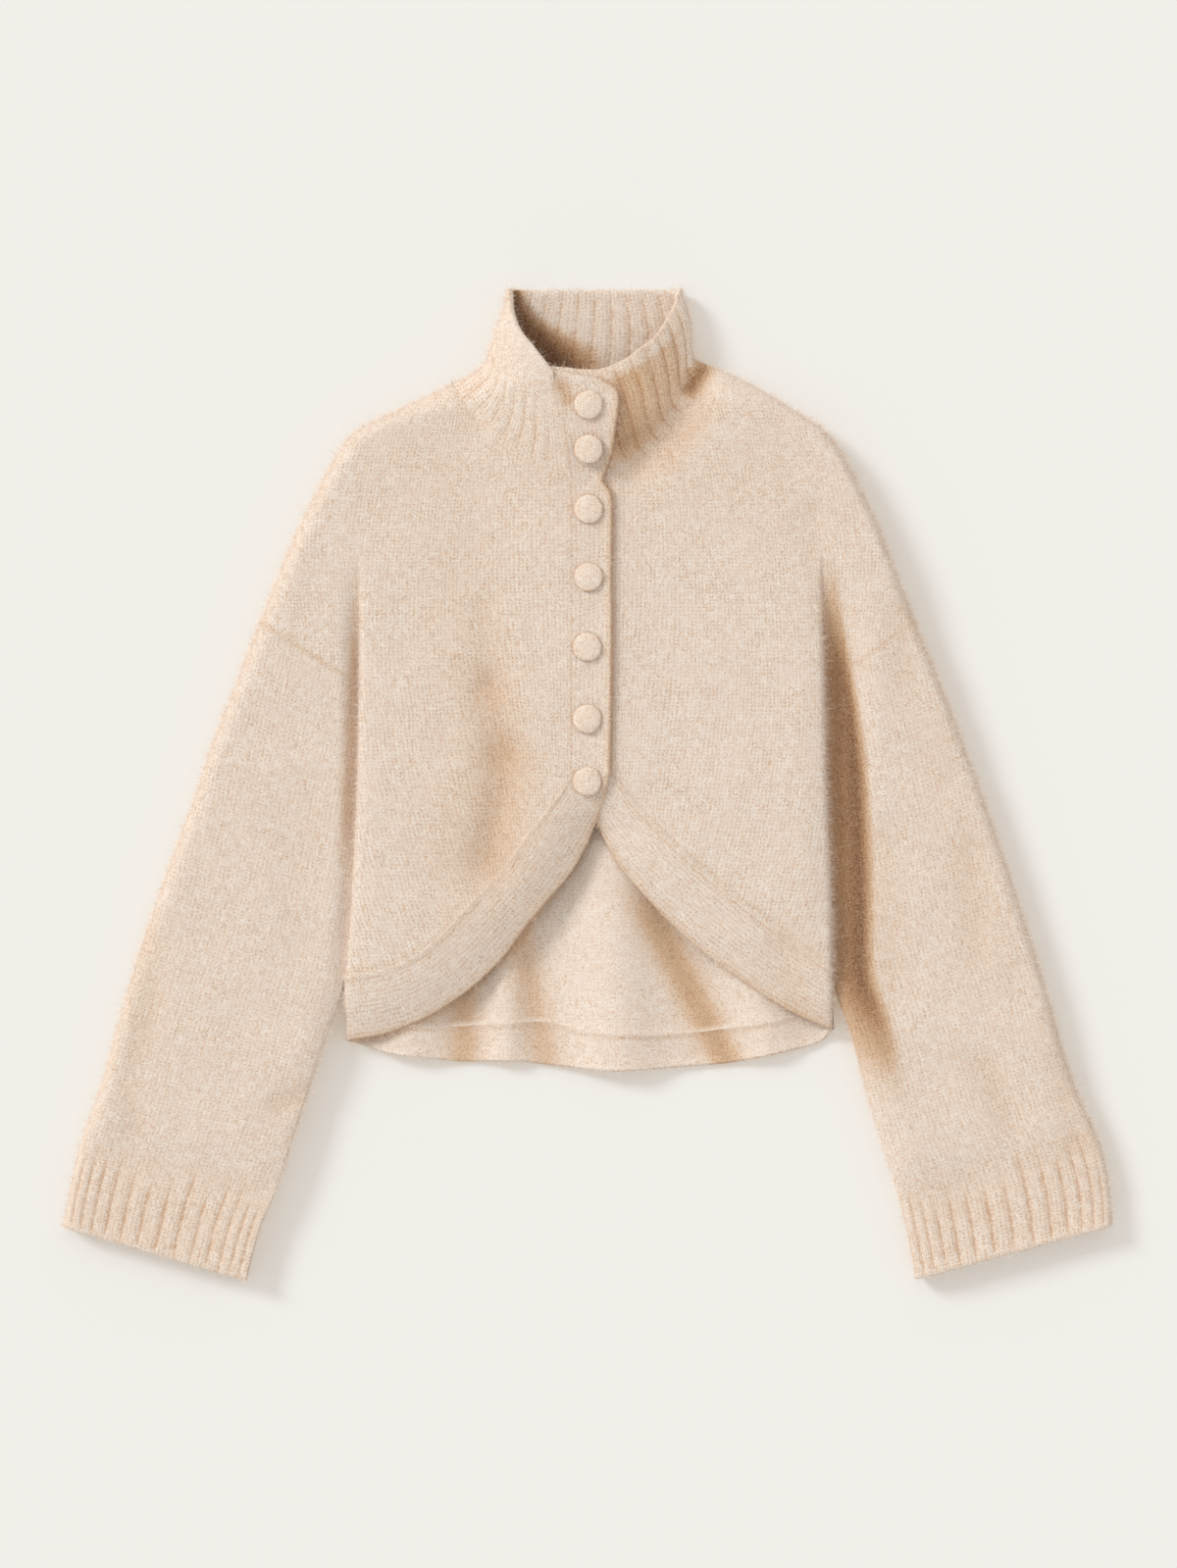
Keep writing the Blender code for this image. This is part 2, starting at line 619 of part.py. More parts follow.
def make_cuff(side, name, parent):
    wall = Wall(name, "rib", parent)
    ends = CUFF[side]
    length = ends.seam_out - ends.end_out
    shares = np.linspace(SEAM_GAP / length, 1, CUFF_ROWS)
    inner, outer = arm_lines(side, (ends.seam_out, ends.end_out), (ends.seam_in, ends.end_in), shares)
    even = rib_shares(CUFF_RIBS)
    across = even - RIB_SQUEEZE * np.sin(2 * math.pi * even)
    rows = [arm_ring(wall, a, b, across, UNDER_ARM_CLOTH, rib_relief(CUFF_RIBS))
            for a, b in zip(inner, outer)]
    wall.grid(rows, closed=True)
    wall.build()


def collar_patch(seam, rim, ribs, down, last, first=None):
    """Plan of one part of the collar, from its seam up to its rim, with three columns a rib."""
    shares = rib_shares(ribs)
    columns = ruled(at_share(seam, shares), at_share(rim, shares), down)
    return patch(shares, columns[:, 0], columns[:, -1], columns[0] if first is None else first, last)


def make_collar(parent):
    """One ribbed band: left flap, round the left fold, the back, the right fold, right flap."""
    wall = Wall("collar", "rib", parent)
    height = RIM_Y - BACK_NECK[0][1]
    down = np.linspace(COLLAR_GAP / height, 1, COLLAR_ROWS)
    folds = {side: at_share(between(OUTER[side], RIM_Y, at_x(OUTER[side], [NECK_POINT[side]])[0, 1]),
                            1 - down) for side in (-1, 1)}
    ribs, ribs_back, ribs_right = (COLLAR_RIBS[part] for part in ("left flap", "back", "right flap"))
    rim_ends = np.array((MOUTH_EDGE[-1][-1], MOUTH_EDGE[1][-1]), float)
    under_placket = np.array((UNDERLAP_TOP, *front_plan(1)[1][::-1]))
    left = collar_patch(front_plan(-1)[1][::-1], through(MOUTH_EDGE[-1]), ribs, down, folds[-1])
    back = collar_patch(back_plan()[1], rim_ends, ribs_back, down, folds[1], folds[-1])
    right = collar_patch(under_placket, through(MOUTH_EDGE[1]), ribs_right, down, folds[1])

    back_relief = rib_relief(ribs_back, 1)
    back_relief = np.minimum(back_relief, back_relief[::-1])[1:-1]
    rows = []
    for left_row, back_row, right_row in zip(left, back, right):
        row = wall.points(*upper(left_row, 1), relief_out=rib_relief(ribs))
        row += wall.points(*lower(back_row[1:-1]), relief_in=back_relief)
        row += wall.points(*upper(right_row[::-1]),
                           relief_out=rib_relief(ribs_right, PLAIN_RIBS)[::-1])
        rows.append(row)
    wall.grid(rows)
    wall.build()


def strip_rows(seam, edge, width):
    """Rows across a band, from just past its seam to its free edge."""
    start = SEAM_GAP / width
    return ruled(seam, edge, np.linspace(start, 1, BAND_COLUMNS))


def corner_shares(path, longest):
    """Shares of a path's length at its own corners, and halfway where those are far apart."""
    steps = np.linalg.norm(np.diff(path, axis=0), axis=1)
    shares = [0.0]
    for step, share in zip(steps, np.cumsum(steps) / steps.sum()):
        if step > longest:
            shares.append((shares[-1] + share) / 2)
        shares.append(share)
    return np.array(shares)


def curved_rows(side, seam):
    """Rows of a band from the placket round the hem to the side."""
    split = corner_shares(seam, BAND_ROW)[1:]
    return list(strip_rows(at_share(seam, split), at_share(through(BAND_EDGE[side]), split), BAND_WIDTH))


def make_band_left(parent):
    """The buttonhole band: over the collar, down the centre and round the hem to the side."""
    wall = Wall("band_left", "body", parent)
    neck = np.array(NECK_SEAM[-1][0], float)
    top = np.array(PLACKET_TOP, float)
    edge_down = through(PLACKET_EDGE[::-1])
    split = np.linspace(0, 1, PLACKET_COLLAR_ROWS)
    collar_seam = ruled(top[:1], neck[None], split)[0]
    collar_edge = at_share(edge_down[edge_down[:, 1] >= neck[1] - 1], split)
    plan = list(strip_rows(collar_seam, collar_edge, BAND_WIDTH))
    seam = front_plan(-1)[2]
    split = np.linspace(0, 1, PLACKET_ROWS)[1:]
    centre_seam = ruled(neck[None], seam[:1], split)[0]
    centre_edge = at_y(edge_down, np.linspace(neck[1] - 1, PLACKET_EDGE[0][1], PLACKET_ROWS)[1:])
    plan += list(strip_rows(centre_seam, centre_edge, BAND_WIDTH))
    plan += curved_rows(-1, seam)
    wall.grid(add_grid(wall, plan, upper, 1))
    wall.build()


def make_band_right(parent):
    """The button band, which passes under the other one and then follows the hem to the side."""
    wall = Wall("band_right", "body", parent)
    seam = front_plan(1)[2]
    neck = np.array(NECK_SEAM[1][0], float)
    split = np.linspace(SEAM_GAP / neck[1], 1, PLACKET_ROWS)
    centre_seam = ruled(neck[None], seam[:1], split)[0]
    centre_edge = ruled(np.array([UNDERLAP_TOP]), np.array([BAND_EDGE[1][0]]), split)[0]
    plan = list(strip_rows(centre_seam, centre_edge, BAND_WIDTH))
    plan += curved_rows(1, seam)
    wall.grid(add_grid(wall, plan, upper, 0))
    wall.build()


def make_hem_band(parent):
    wall = Wall("back_hem_band", "body", parent)
    seam = back_plan()[2]
    shares = corner_shares(seam, BAND_ROW)
    seam = at_share(seam, shares)
    edge = at_share(through(HEM_EDGE), shares)
    depth = np.linalg.norm(edge - seam, axis=1)[:, None, None]
    down = np.linspace(0, 1, 3)[None, :, None]
    down = down + (1 - down) * SEAM_GAP / depth
    plan = seam[:, None] + (edge - seam)[:, None] * down
    wall.grid(add_grid(wall, plan, lower))
    wall.build()


def make_button(number, centre, parent):
    """A low knit-covered dome whose underside follows the band that it is sewn to."""
    turn = np.linspace(0, 2 * math.pi, BUTTON_SIDES, endpoint=False)
    ring = np.column_stack((np.cos(turn), np.sin(turn)))
    centre = np.array(centre, float)
    base = upper(np.vstack((centre[None], centre + BUTTON_RADIUS * ring)), 1)[0]
    base[:, 2] += SEAM_GAP
    floor = base[:, 2].max()
    places = [base]
    for share in (1, 0.8, 0.45):
        rise = BUTTON_EDGE + BUTTON_DOME * math.sqrt(1 - share ** 2)
        flat = centre + BUTTON_RADIUS * share * ring
        places.append(np.column_stack((flat, np.full(BUTTON_SIDES, floor + rise))))
    places.append(np.array([[*centre, floor + BUTTON_EDGE + BUTTON_DOME]]))
    places = np.vstack(places)
    sides = range(BUTTON_SIDES)
    faces = [(0, 1 + (n + 1) % BUTTON_SIDES, 1 + n) for n in sides]
    for level in range(3):
        low, high = 1 + level * BUTTON_SIDES, 1 + (level + 1) * BUTTON_SIDES
        faces += [(low + n, low + (n + 1) % BUTTON_SIDES, high + (n + 1) % BUTTON_SIDES, high + n)
                  for n in sides]
    top = len(places) - 1
    last = top - BUTTON_SIDES
    faces += [(last + n, last + (n + 1) % BUTTON_SIDES, top) for n in sides]
    solid(f"button_{number}", places, faces, "button", parent)


def clear_scene():
    for thing in list(bpy.data.objects):
        bpy.data.objects.remove(thing, do_unlink=True)


def main():
    clear_scene()
    garment = bpy.data.objects.new("cardigan", None)
    bpy.context.scene.collection.objects.link(garment)
    make_back(garment)
    for side, name in ((-1, "left"), (1, "right")):
        make_front(side, "front_" + name, garment)
        make_sleeve(side, "sleeve_" + name, garment)
        make_cuff(side, "cuff_" + name, garment)
    make_collar(garment)
    make_band_left(garment)
    make_band_right(garment)
    make_hem_band(garment)
    for number, centre in enumerate(BUTTON_AT, 1):
        make_button(number, centre, garment)


main()
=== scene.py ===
import math
from functools import partial
import bpy
import numpy as np
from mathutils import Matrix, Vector


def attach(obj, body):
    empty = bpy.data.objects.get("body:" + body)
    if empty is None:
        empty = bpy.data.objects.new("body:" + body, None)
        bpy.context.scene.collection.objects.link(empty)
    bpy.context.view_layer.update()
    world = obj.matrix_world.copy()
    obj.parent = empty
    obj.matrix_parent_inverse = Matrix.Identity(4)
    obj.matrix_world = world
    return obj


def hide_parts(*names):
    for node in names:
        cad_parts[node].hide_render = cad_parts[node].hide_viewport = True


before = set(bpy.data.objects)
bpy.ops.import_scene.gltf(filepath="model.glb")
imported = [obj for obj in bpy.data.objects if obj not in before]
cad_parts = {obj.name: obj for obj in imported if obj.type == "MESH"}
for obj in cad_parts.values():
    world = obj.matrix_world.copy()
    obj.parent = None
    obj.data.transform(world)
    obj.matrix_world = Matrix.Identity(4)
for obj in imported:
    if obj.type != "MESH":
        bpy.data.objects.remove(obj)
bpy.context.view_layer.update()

# a cropped cardigan of brushed knit, laid on its back: x to the right, y to the collar, z up
# sizes are in millimetres until a mesh is made
mm = 0.001
sides = {-1: "left", 1: "right"}
print("frame loaded")


# plan of the garment, from the collar down; x is negative on the left
outlinePoints = {
    -1: [(-61, 378), (-66, 362), (-71, 347), (-75.5, 333), (-78, 325), (-80, 321), (-92, 312),
         (-110, 303), (-133, 292), (-172, 273), (-184, 264), (-196, 247), (-206, 228), (-224, 192),
         (-242, 150), (-257, 111), (-274, 67), (-289, 30), (-303, -13), (-326, -75), (-351, -150),
         (-372, -225), (-389, -273), (-397, -305), (-403, -337)],
    1: [(70, 378), (76.5, 362), (79, 347), (79.5, 333), (82, 325), (90, 321), (111, 312),
        (129, 303), (147, 292), (176, 273), (186, 264), (199, 247), (209, 228), (226, 192),
        (242, 150), (257, 111), (275, 67), (289, 30), (305, -13), (326, -75), (350, -150),
        (372, -225), (393, -273), (401, -305), (403, -337)]}
bodySidePoints = {
    -1: [(-172, 273), (-174, 180), (-175.5, 76), (-177, 0), (-180.5, -75), (-186, -148), (-186.5, -190)],
    1: [(176, 273), (177, 180), (180, 76), (182, 0), (185, -75), (186.5, -148), (187.5, -190)]}
armSidePoints = {
    -1: [(-172, 273), (-174, 180), (-175.55, 76), (-177.05, 0), (-180.55, -75), (-186.1, -148),
         (-199.5, -191), (-218.5, -249), (-237, -306), (-250.5, -340), (-261, -378)],
    1: [(176, 273), (177, 180), (180.05, 76), (182.05, 0), (185.05, -75), (186.6, -148),
        (200.5, -191), (216, -249), (234, -306), (242.5, -340), (250, -378)]}
neckSeam = {
    -1: [(-16, 234), (-34, 238), (-51, 246), (-62, 254), (-76, 267), (-90, 283), (-104, 307)],
    1: [(20.5, 241), (33, 246), (48, 255), (57, 263), (70, 281), (80, 297), (90, 321)]}
backNeck = [(-104, 307), (-97, 301), (-60, 298), (0, 297), (50, 301), (78, 311), (90, 321)]
bandSeam = {
    -1: [(-16, 0), (-27, -15), (-45, -38), (-60, -60), (-76, -78), (-95, -98), (-114, -118),
         (-131, -131), (-155, -142), (-186.5, -148)],
    1: [(20.5, 5), (34, -14), (46, -27), (71, -52), (106, -82), (130, -101), (156, -121),
        (186.5, -142)]}
bandEdge = {
    -1: [(16, 15), (9, -17), (-5, -51), (-16, -69), (-32, -88), (-51, -111), (-64, -129),
         (-76, -142), (-92, -156), (-108, -167), (-124, -177), (-140, -184), (-158, -190),
         (-184, -195)],
    1: [(-11.5, 15), (-5, -12), (8, -33), (20, -55), (30, -69), (45, -86), (60, -102), (76, -117),
        (94, -132), (112, -145), (131, -158), (150, -170), (166, -178), (186.5, -187)]}
placketEdge = [(15, 15), (16, 60), (16.5, 105), (16, 160), (16, 218), (9, 229), (16, 250),
               (19.5, 272), (21.5, 290), (19.5, 299), (10, 305)]
placketTop = [(-27, 312), (-13, 309.5), (10, 305)]
mouthEdge = {
    -1: [(-27, 312), (-32, 318), (-41.5, 330), (-53, 345), (-59, 361), (-61, 378)],
    1: [(-36, 317), (-20, 315.5), (7, 314), (26, 321), (39, 330), (52, 341), (64, 361), (70, 378)]}
hemSeam = [(-186.5, -172), (-150, -183), (-116, -186), (-71, -184), (-34, -182), (0, -189),
           (40, -192), (74, -191), (108, -187), (150, -180), (187, -166)]
hemEdge = [(-184, -196), (-150, -206), (-124, -209), (-98, -212), (-55, -212), (-18, -216),
           (21, -219), (61, -217), (108, -213), (153, -204), (176, -198), (187.5, -188)]
cuffEnds = {-1: {"seamOut": -273, "seamIn": -306, "endOut": -337, "endIn": -378},
            1: {"seamOut": -262, "seamIn": -305, "endOut": -336, "endIn": -377}}
marks = {"neckPoint": {-1: -104, 1: 90}, "placketSeam": {-1: -16, 1: 20.5}, "rim": 378,
         "creaseTop": 185, "underarm": 76, "underCrease": 18, "armholeOut": 124, "hiddenTop": (-11.5, 236)}

cloth = {"wall": 3.0, "fold": 11.0, "body": 31.0, "collarRise": 7.0, "hemDrop": 4.0, "layer": 3.6, "step": 4.0,
         "edgeRadius": {-1: 12, 1: 7.5}, "hairEdge": {-1: 1.3, 1: 2.8}, "hairTo": (235, 50), "collarRadius": 45,
         "underRadius": 9, "bodySideRadius": {-1: 5, 1: 4}, "armSideRadius": {-1: 20, 1: 27},
         "armSlope": {-1: 14, 1: 42},
         "armPaintedShade": {-1: 0.3, 1: 1.0}, "paintedShadeWidth": {-1: 13, 1: 36}, "paintedShadeEnd": {-1: (20, 60), 1: (140, 110)},
         "creaseLift": {-1: 8.0, 1: 3.5}, "seamBulge": 0.12, "edgeBulge": 1.5, "seamRidge": 0.7, "underRidge": 1.6,
         "armCrown": [(-120, 31), (-40, 28.5), (40, 25.5), (200, 24.5), (335, 23), (350, 21),
                      (366, 18.5), (440, 18)]}

# soft troughs of the upper cloth: from, to, width, depth and how much painted shade lies in it
folds = [((-74, 72), (-64, 22), 17, 3.5, 0.19), ((-66, 20), (-76, -60), 18, 4.0, 0.18),
         ((-44, 10), (-58, -52), 13, 0.0, 0.07), ((-79, 135), (-76, 75), 13, 2.0, 0.06),
         ((-92, 150), (-66, -60), 42, 0.0, 0.07), ((-21, 302), (-14, 291), 6, 2.5, 0.40),
         ((36, 246), (70, 280), 12, 1.0, 0.18), ((60, 244), (93, 290), 10, 0.0, 0.15),
         ((-62, -5), (-76, -55), 13, 2.5, 0.05), ((-96, 292), (-84, 272), 7, 2.0, 0.05),
         ((-334, -120), (-340, -200), 15, 2.5, 0.10), ((-352, -225), (-344, -262), 12, 2.0, 0.08),
         ((-210, -8), (-225, -120), 20, 1.5, 0.02), ((-216, -236), (-236, -246), 9, 2.5, 0.12),
         ((240, 127), (242, 82), 14, 1.5, 0.08), ((290, -53), (296, -128), 13, 1.8, 0.06),
         ((360, -180), (371, -270), 13, 1.8, 0.10), ((222, -45), (232, -150), 16, 1.5, 0.08),
         ((300, -215), (322, -258), 13, 2.2, 0.08), ((150, -128), (160, -173), 18, 2.0, 0.10),
         ((78, 302), (87, 317), 7, 5.0, 1.05), ((172, 205), (178, 125), 13, 1.5, 0.04),
         ((-112, -30), (-98, -100), 26, 0.0, 0.06),
         ((-120, 235), (130, 235), 45, 0.0, 0.045), ((262, 40), (318, -150), 24, 0.0, 0.045)]
# waves of the back near its hem: x, width, height and lean
ridges = [(-137, 24, 8.5, 0.0), (-62, 13, 7.0, 0.0), (24, 31, 12.5, -0.05), (140, 20, 6.5, -0.2)]
# painted shade in the hollows between them: x at the hem, lean, width and strength
paintedHollowShades = [(-96, 0.0, 13, 0.42), (-34, -0.22, 13, 0.34), (102, -0.52, 14, 0.6)]


def through(points, steps=8):  # a smooth path through points
    knots = np.array(points, float)
    knots = np.vstack((2 * knots[0] - knots[1], knots, 2 * knots[-1] - knots[-2]))
    path = []
    for before, start, end, after in zip(knots, knots[1:], knots[2:], knots[3:]):
        for t in np.arange(steps) / steps:
            bend = 2 * before - 5 * start + 4 * end - after
            twist = 3 * start - before - 3 * end + after
            path.append(start + 0.5 * ((end - before) * t + bend * t ** 2 + twist * t ** 3))
    path.append(knots[-2])
    return np.array(path)


def wayAlong(path):  # how far each point of a path is from its start
    return np.concatenate(([0], np.cumsum(np.linalg.norm(np.diff(path, axis=0), axis=1))))


def atShare(path, shares):
    way = wayAlong(path)
    shares = np.asarray(shares) * way[-1]
    return np.column_stack([np.interp(shares, way, path[:, axis]) for axis in range(path.shape[1])])


def atY(path, values):
    return np.column_stack((np.interp(-np.asarray(values), -path[:, 1], path[:, 0]), values))


def atX(path, values):
    order = np.argsort(path[:, 0])
    return np.column_stack((values, np.interp(values, path[order, 0], path[order, 1])))


def between(path, startY, endY, count=160):
    return atY(path, np.linspace(startY, endY, count))


def blend(value, start, length):  # 0 below the start, 1 past the length
    t = np.clip((value - start) / length, 0, 1)
    return t * t * (3 - 2 * t)


def bell(value, width):
    return np.exp(-(value / width) ** 2)


def unit(vectors):
    return vectors / np.maximum(np.linalg.norm(vectors, axis=-1, keepdims=True), 1e-9)


def spread(length, start=0, end=0, step=cloth["step"], near=7):  # shares of a length, closer at rolled ends
    eased = (np.arange(near) / near) ** 2
    count = max(2, round((length - start - end) / step))
    parts = ([start * eased] if start else []) + [np.linspace(start, length - end, count + 1)]
    parts += [length - end * eased[::-1]] if end else []
    return np.unique(np.round(np.concatenate(parts), 4)) / length


outer, bodySide, armSide, bandLine, mouthLine = (
    {side: through(points[side]) for side in sides}
    for points in (outlinePoints, bodySidePoints, armSidePoints, bandEdge, mouthEdge))
for side in sides:  # hair makes up the last millimetres
    outer[side][:, 0] -= side * cloth["hairEdge"][side] * (1 - blend(outer[side][:, 1], *cloth["hairTo"]))
placketLine = through(placketEdge)
neckLine = np.vstack((through(neckSeam[-1])[::-1], through(neckSeam[1])))


# height of the cloth over the plan

def roll(t):  # a quarter circle, from 0 at the edge to 1 where it is level, and its slope
    left = np.clip(1 - t, 0, 1)
    rise = np.sqrt(1 - left ** 2)
    return rise, left / np.maximum(rise, 0.03)


def edgeField(points, path, chunk=4000):  # distance to a path and the way inwards, to its left
    start, run = path[:-1], np.diff(path, axis=0)
    turned = unit(np.column_stack((-run[:, 1], run[:, 0])))
    gap, inward = np.empty(len(points)), np.empty((len(points), 2))
    for first in range(0, len(points), chunk):
        some = slice(first, first + chunk)
        offset = points[some, None] - start[None]
        share = np.clip((offset * run).sum(2) / (run * run).sum(1), 0, 1)
        away = offset - share[..., None] * run
        distance = np.linalg.norm(away, axis=2)
        nearest = distance.argmin(1)
        rows = np.arange(len(nearest))
        gap[some] = distance[rows, nearest]
        onPath = (gap[some] < 0.05)[:, None]
        inward[some] = np.where(onPath, turned[nearest], unit(away[rows, nearest]))
    return gap, inward


def gapTo(path, x, y):
    return edgeField(np.column_stack((x, y)), path)[0]


def outerField(points):
    left = edgeField(points, outer[-1])
    right = edgeField(points, outer[1][::-1])
    useLeft = left[0] < right[0]
    return np.where(useLeft, left[0], right[0]), np.where(useLeft[:, None], left[1], right[1])


# where the arm comes out softly from under the body, and how wide and strong its painted shade is
armValley = {"softTo": (130, 70), "wide": (-185, 200), "narrow": 0.35, "near": 0.7, "far": 0.75, "farAt": 20,
             "edge": (0.6, 0.38)}


def valleyField(points):  # the fold between body and arm: distance, way in, rise, its slope, and its painted shade
    size = armValley
    gap, rise, slope, dark = (np.empty(len(points)) for _ in range(4))
    inward = np.empty((len(points), 2))
    for side in sides:
        here = points[:, 0] * side > 0
        outside = here & (points[:, 0] * side > atY(bodySide[side], points[:, 1])[:, 0] * side + 0.01)
        for chosen, path, radius, soft, tint in (
                (here & ~outside, bodySide[side][::-side], cloth["bodySideRadius"][side], None, 0),
                (outside, armSide[side][::side], cloth["armSideRadius"][side], cloth["armSlope"][side],
                 cloth["armPaintedShade"][side])):
            if not chosen.any():
                continue
            down = -points[chosen, 1]
            gap[chosen], inward[chosen] = edgeField(points[chosen], path)
            up, steep = roll(gap[chosen] / radius)
            steep = steep / radius
            if soft:  # the arm comes out from under the body's fold in a long slope
                t = np.clip(gap[chosen] / soft, 0, 1)
                share = 1 - blend(down, *size["softTo"])
                up = up + (t * t * (3 - 2 * t) - up) * share
                steep = steep + (6 * t * (1 - t) / soft - steep) * share
            rise[chosen], slope[chosen] = up, steep
            # painted shade on the arm's side of the fold between body and arm
            width = cloth["paintedShadeWidth"][side] * (size["narrow"] + (1 - size["narrow"]) * blend(down, *size["wide"]))
            tint = tint * (size["near"] + size["far"] * np.clip(gap[chosen] / size["farAt"], 0, 1))
            fade = 1 - blend(down, *cloth["paintedShadeEnd"][side])
            dark[chosen] = tint * fade * (1 - blend(gap[chosen] / width, *size["edge"]))
    inward[(gap < 0.05) & (points[:, 1] > marks["underarm"] + 0.1)] = 0
    return gap, inward, rise, slope, dark


def creaseLift(points):  # how much higher the crease lies than the fold of the outline
    return np.where(points[:, 0] < 0, cloth["creaseLift"][-1], cloth["creaseLift"][1])


def neckField(x, y):  # distance to the neck seam, above 0 within the collar
    gap = gapTo(neckLine, x, y)
    return np.where(y > np.interp(x, neckLine[:, 0], neckLine[:, 1]), gap, -gap)


def plainWaves(x, y, length, seed, count=14):  # soft unevenness, about -1 to 1
    chance = np.random.default_rng(seed)
    total = np.zeros(len(x))
    for angle, size, shift in zip(chance.uniform(0, math.pi, count), chance.uniform(0.7, 1.5, count),
                                  chance.uniform(0, 2 * math.pi, count)):
        total += np.sin((x * math.cos(angle) + y * math.sin(angle)) * 2 * math.pi / (length * size) + shift)
    return total / math.sqrt(count)


def inFold(x, y, fold):
    (x1, y1), (x2, y2), width = fold[:3]
    run = np.array((x2 - x1, y2 - y1), float)
    share = np.clip(((x - x1) * run[0] + (y - y1) * run[1]) / (run @ run), 0, 1)
    return bell(np.hypot(x - x1 - share * run[0], y - y1 - share * run[1]), width)


# over the body: where each change starts and how long it takes
crownSizes = {"armWay": (0.24, 0.97), "hem": (20, 150), "neckBox": (170, 160), "collar": (-10, 48),
              "neckDip": (6.5, 17), "dipFrom": (14, 30), "toArm": (160, 35), "overlap": (-110, 85),
              "uneven": [(80, 3, 0.5), (24, 4, 0.14)]}


def crown(x, y, layer):
    size = crownSizes
    way = size["armWay"][0] * np.abs(x) - size["armWay"][1] * y
    arm = np.interp(way, *zip(*cloth["armCrown"]))
    body = cloth["body"] - cloth["hemDrop"] * blend(-y, *size["hem"])
    near = (y > size["neckBox"][0]) & (np.abs(x) < size["neckBox"][1])
    neckGap = np.full(len(x), -99.0)
    neckGap[near] = neckField(x[near], y[near])
    body = body + cloth["collarRise"] * blend(neckGap, *size["collar"])
    depth, width = size["neckDip"]
    body = body - depth * bell(neckGap, width) * blend(x, *size["dipFrom"])
    height = body + (arm - body) * blend(np.abs(x), *size["toArm"])
    for fold in folds:
        height = height - fold[3] * inFold(x, y, fold)
    for length, seed, amount in size["uneven"]:
        height = height + amount * plainWaves(x, y, length, seed)
    return height + layer * cloth["layer"] * blend(x, *size["overlap"])


def slopeOf(height, x, y, *more, step=0.5):
    return np.column_stack((height(x + step, y, *more) - height(x - step, y, *more),
                            height(x, y + step, *more) - height(x, y - step, *more))) / (2 * step)


# where the edge grows rounder, how the collar's right side falls, and the painted shades of the surface
upperSizes = {"radiusAcross": (-60, 120), "radiusUp": (272, 45), "evenFrom": (268, 34), "evenRight": (0, 30),
              "evenTo": (84, 18), "narrow": 7, "ramp": 46, "narrowShare": 0.36, "window": (0.57, 0.82),
              "paintedWindowShade": 0.05, "placketPaintedShadow": 0.5, "placketWidth": 3.0, "placketTo": 60}


def upper(points, layer=0):  # outer face of the upper cloth: places, normals, painted shade
    size = upperSizes
    x, y = points.T
    outerGap, outerWay = outerField(points)
    _, valleyWay, dip, dipSlope, dark = valleyField(points)
    left, right = (cloth["edgeRadius"][side] for side in sides)
    radius = left + (right - left) * blend(x, *size["radiusAcross"])
    radius = radius + (cloth["collarRadius"] - radius) * blend(y, *size["radiusUp"])
    rise, riseSlope = roll(outerGap / radius)
    riseSlope = riseSlope / radius
    # the collar's right side falls evenly to a narrow fold
    even = blend(y, *size["evenFrom"]) * blend(x, *size["evenRight"]) * (1 - blend(x, *size["evenTo"]))
    narrow, narrowSlope = roll(outerGap / size["narrow"])
    ramp, part = np.clip(outerGap / size["ramp"], 0, 1), size["narrowShare"]
    rise = rise + (part * narrow + (1 - part) * ramp - rise) * even
    evenSlope = part * narrowSlope / size["narrow"] + (1 - part) * (ramp < 1) / size["ramp"]
    riseSlope = riseSlope + (evenSlope - riseSlope) * even
    deep = blend(-y, -marks["creaseTop"], marks["creaseTop"] - marks["underarm"])
    share = 1 - deep * (1 - dip)
    level = crown(x, y, layer) - cloth["fold"]
    slope = slopeOf(crown, x, y, layer) * (rise * share)[:, None]
    slope += (level * share * riseSlope)[:, None] * outerWay
    lift = creaseLift(points) * deep * rise
    slope += ((level * rise * deep - lift) * dipSlope)[:, None] * valleyWay
    normal = unit(np.column_stack((-slope, np.ones(len(points)))))
    # painted shade in the fold between body and arm and in the troughs
    dark = 1 - (1 - deep * dark) * np.prod([1 - fold[4] * inFold(x, y, fold) for fold in folds], axis=0)
    # painted shade where the cloth faces the window, so that it looks no brighter there
    towards = size["window"][0] * normal[:, 1] - size["window"][1] * normal[:, 0]
    dark = dark + size["paintedWindowShade"] * blend(towards, 0.1, 0.8)
    # painted shadow beside the placket's edge, on the cloth under it
    onFront = (layer == 0) * (np.abs(x) < size["placketTo"])
    dark = dark + size["placketPaintedShadow"] * bell(gapTo(placketLine, x, y), size["placketWidth"]) * onFront
    return np.column_stack((points, cloth["fold"] + level * rise * share + lift * (1 - dip))), normal, dark


# the back near its hem, and the painted shadow that the left front casts on it
hemSizes = {"hemY": 212, "wavesFrom": (-15, 75), "hollowY": 205, "hollowsFrom": (65, 45), "paintedBandShadow": (0.4, 5)}


def waves(x, y):
    height = np.zeros(len(x))
    for at, width, rise, lean in ridges:
        height += rise * bell(x - at - lean * (y + hemSizes["hemY"]), width)
    return height * blend(-y, *hemSizes["wavesFrom"])


def lowerPaintedShade(x, y):  # painted shade in the hollows of the back and painted shadow under the left front's edge
    light = np.ones(len(x))
    for at, lean, width, share in paintedHollowShades:
        offset = x - at - lean * (y + hemSizes["hollowY"])
        light *= 1 - share * blend(-y, *hemSizes["hollowsFrom"]) * bell(offset, width)
    amount, width = hemSizes["paintedBandShadow"]
    return 1 - light * (1 - amount * bell(gapTo(bandLine[-1], x, y), width))


# how far the painted shade in the collar reaches from the left side and up from the foot
mouthSizes = {"from": (290, 12), "reach": 15, "more": 32, "moreTo": (325, 50), "side": 1.4, "foot": 1.35,
              "footTo": (4, 24), "footRight": (-28, 40), "footPoints": 32, "most": 1.7}


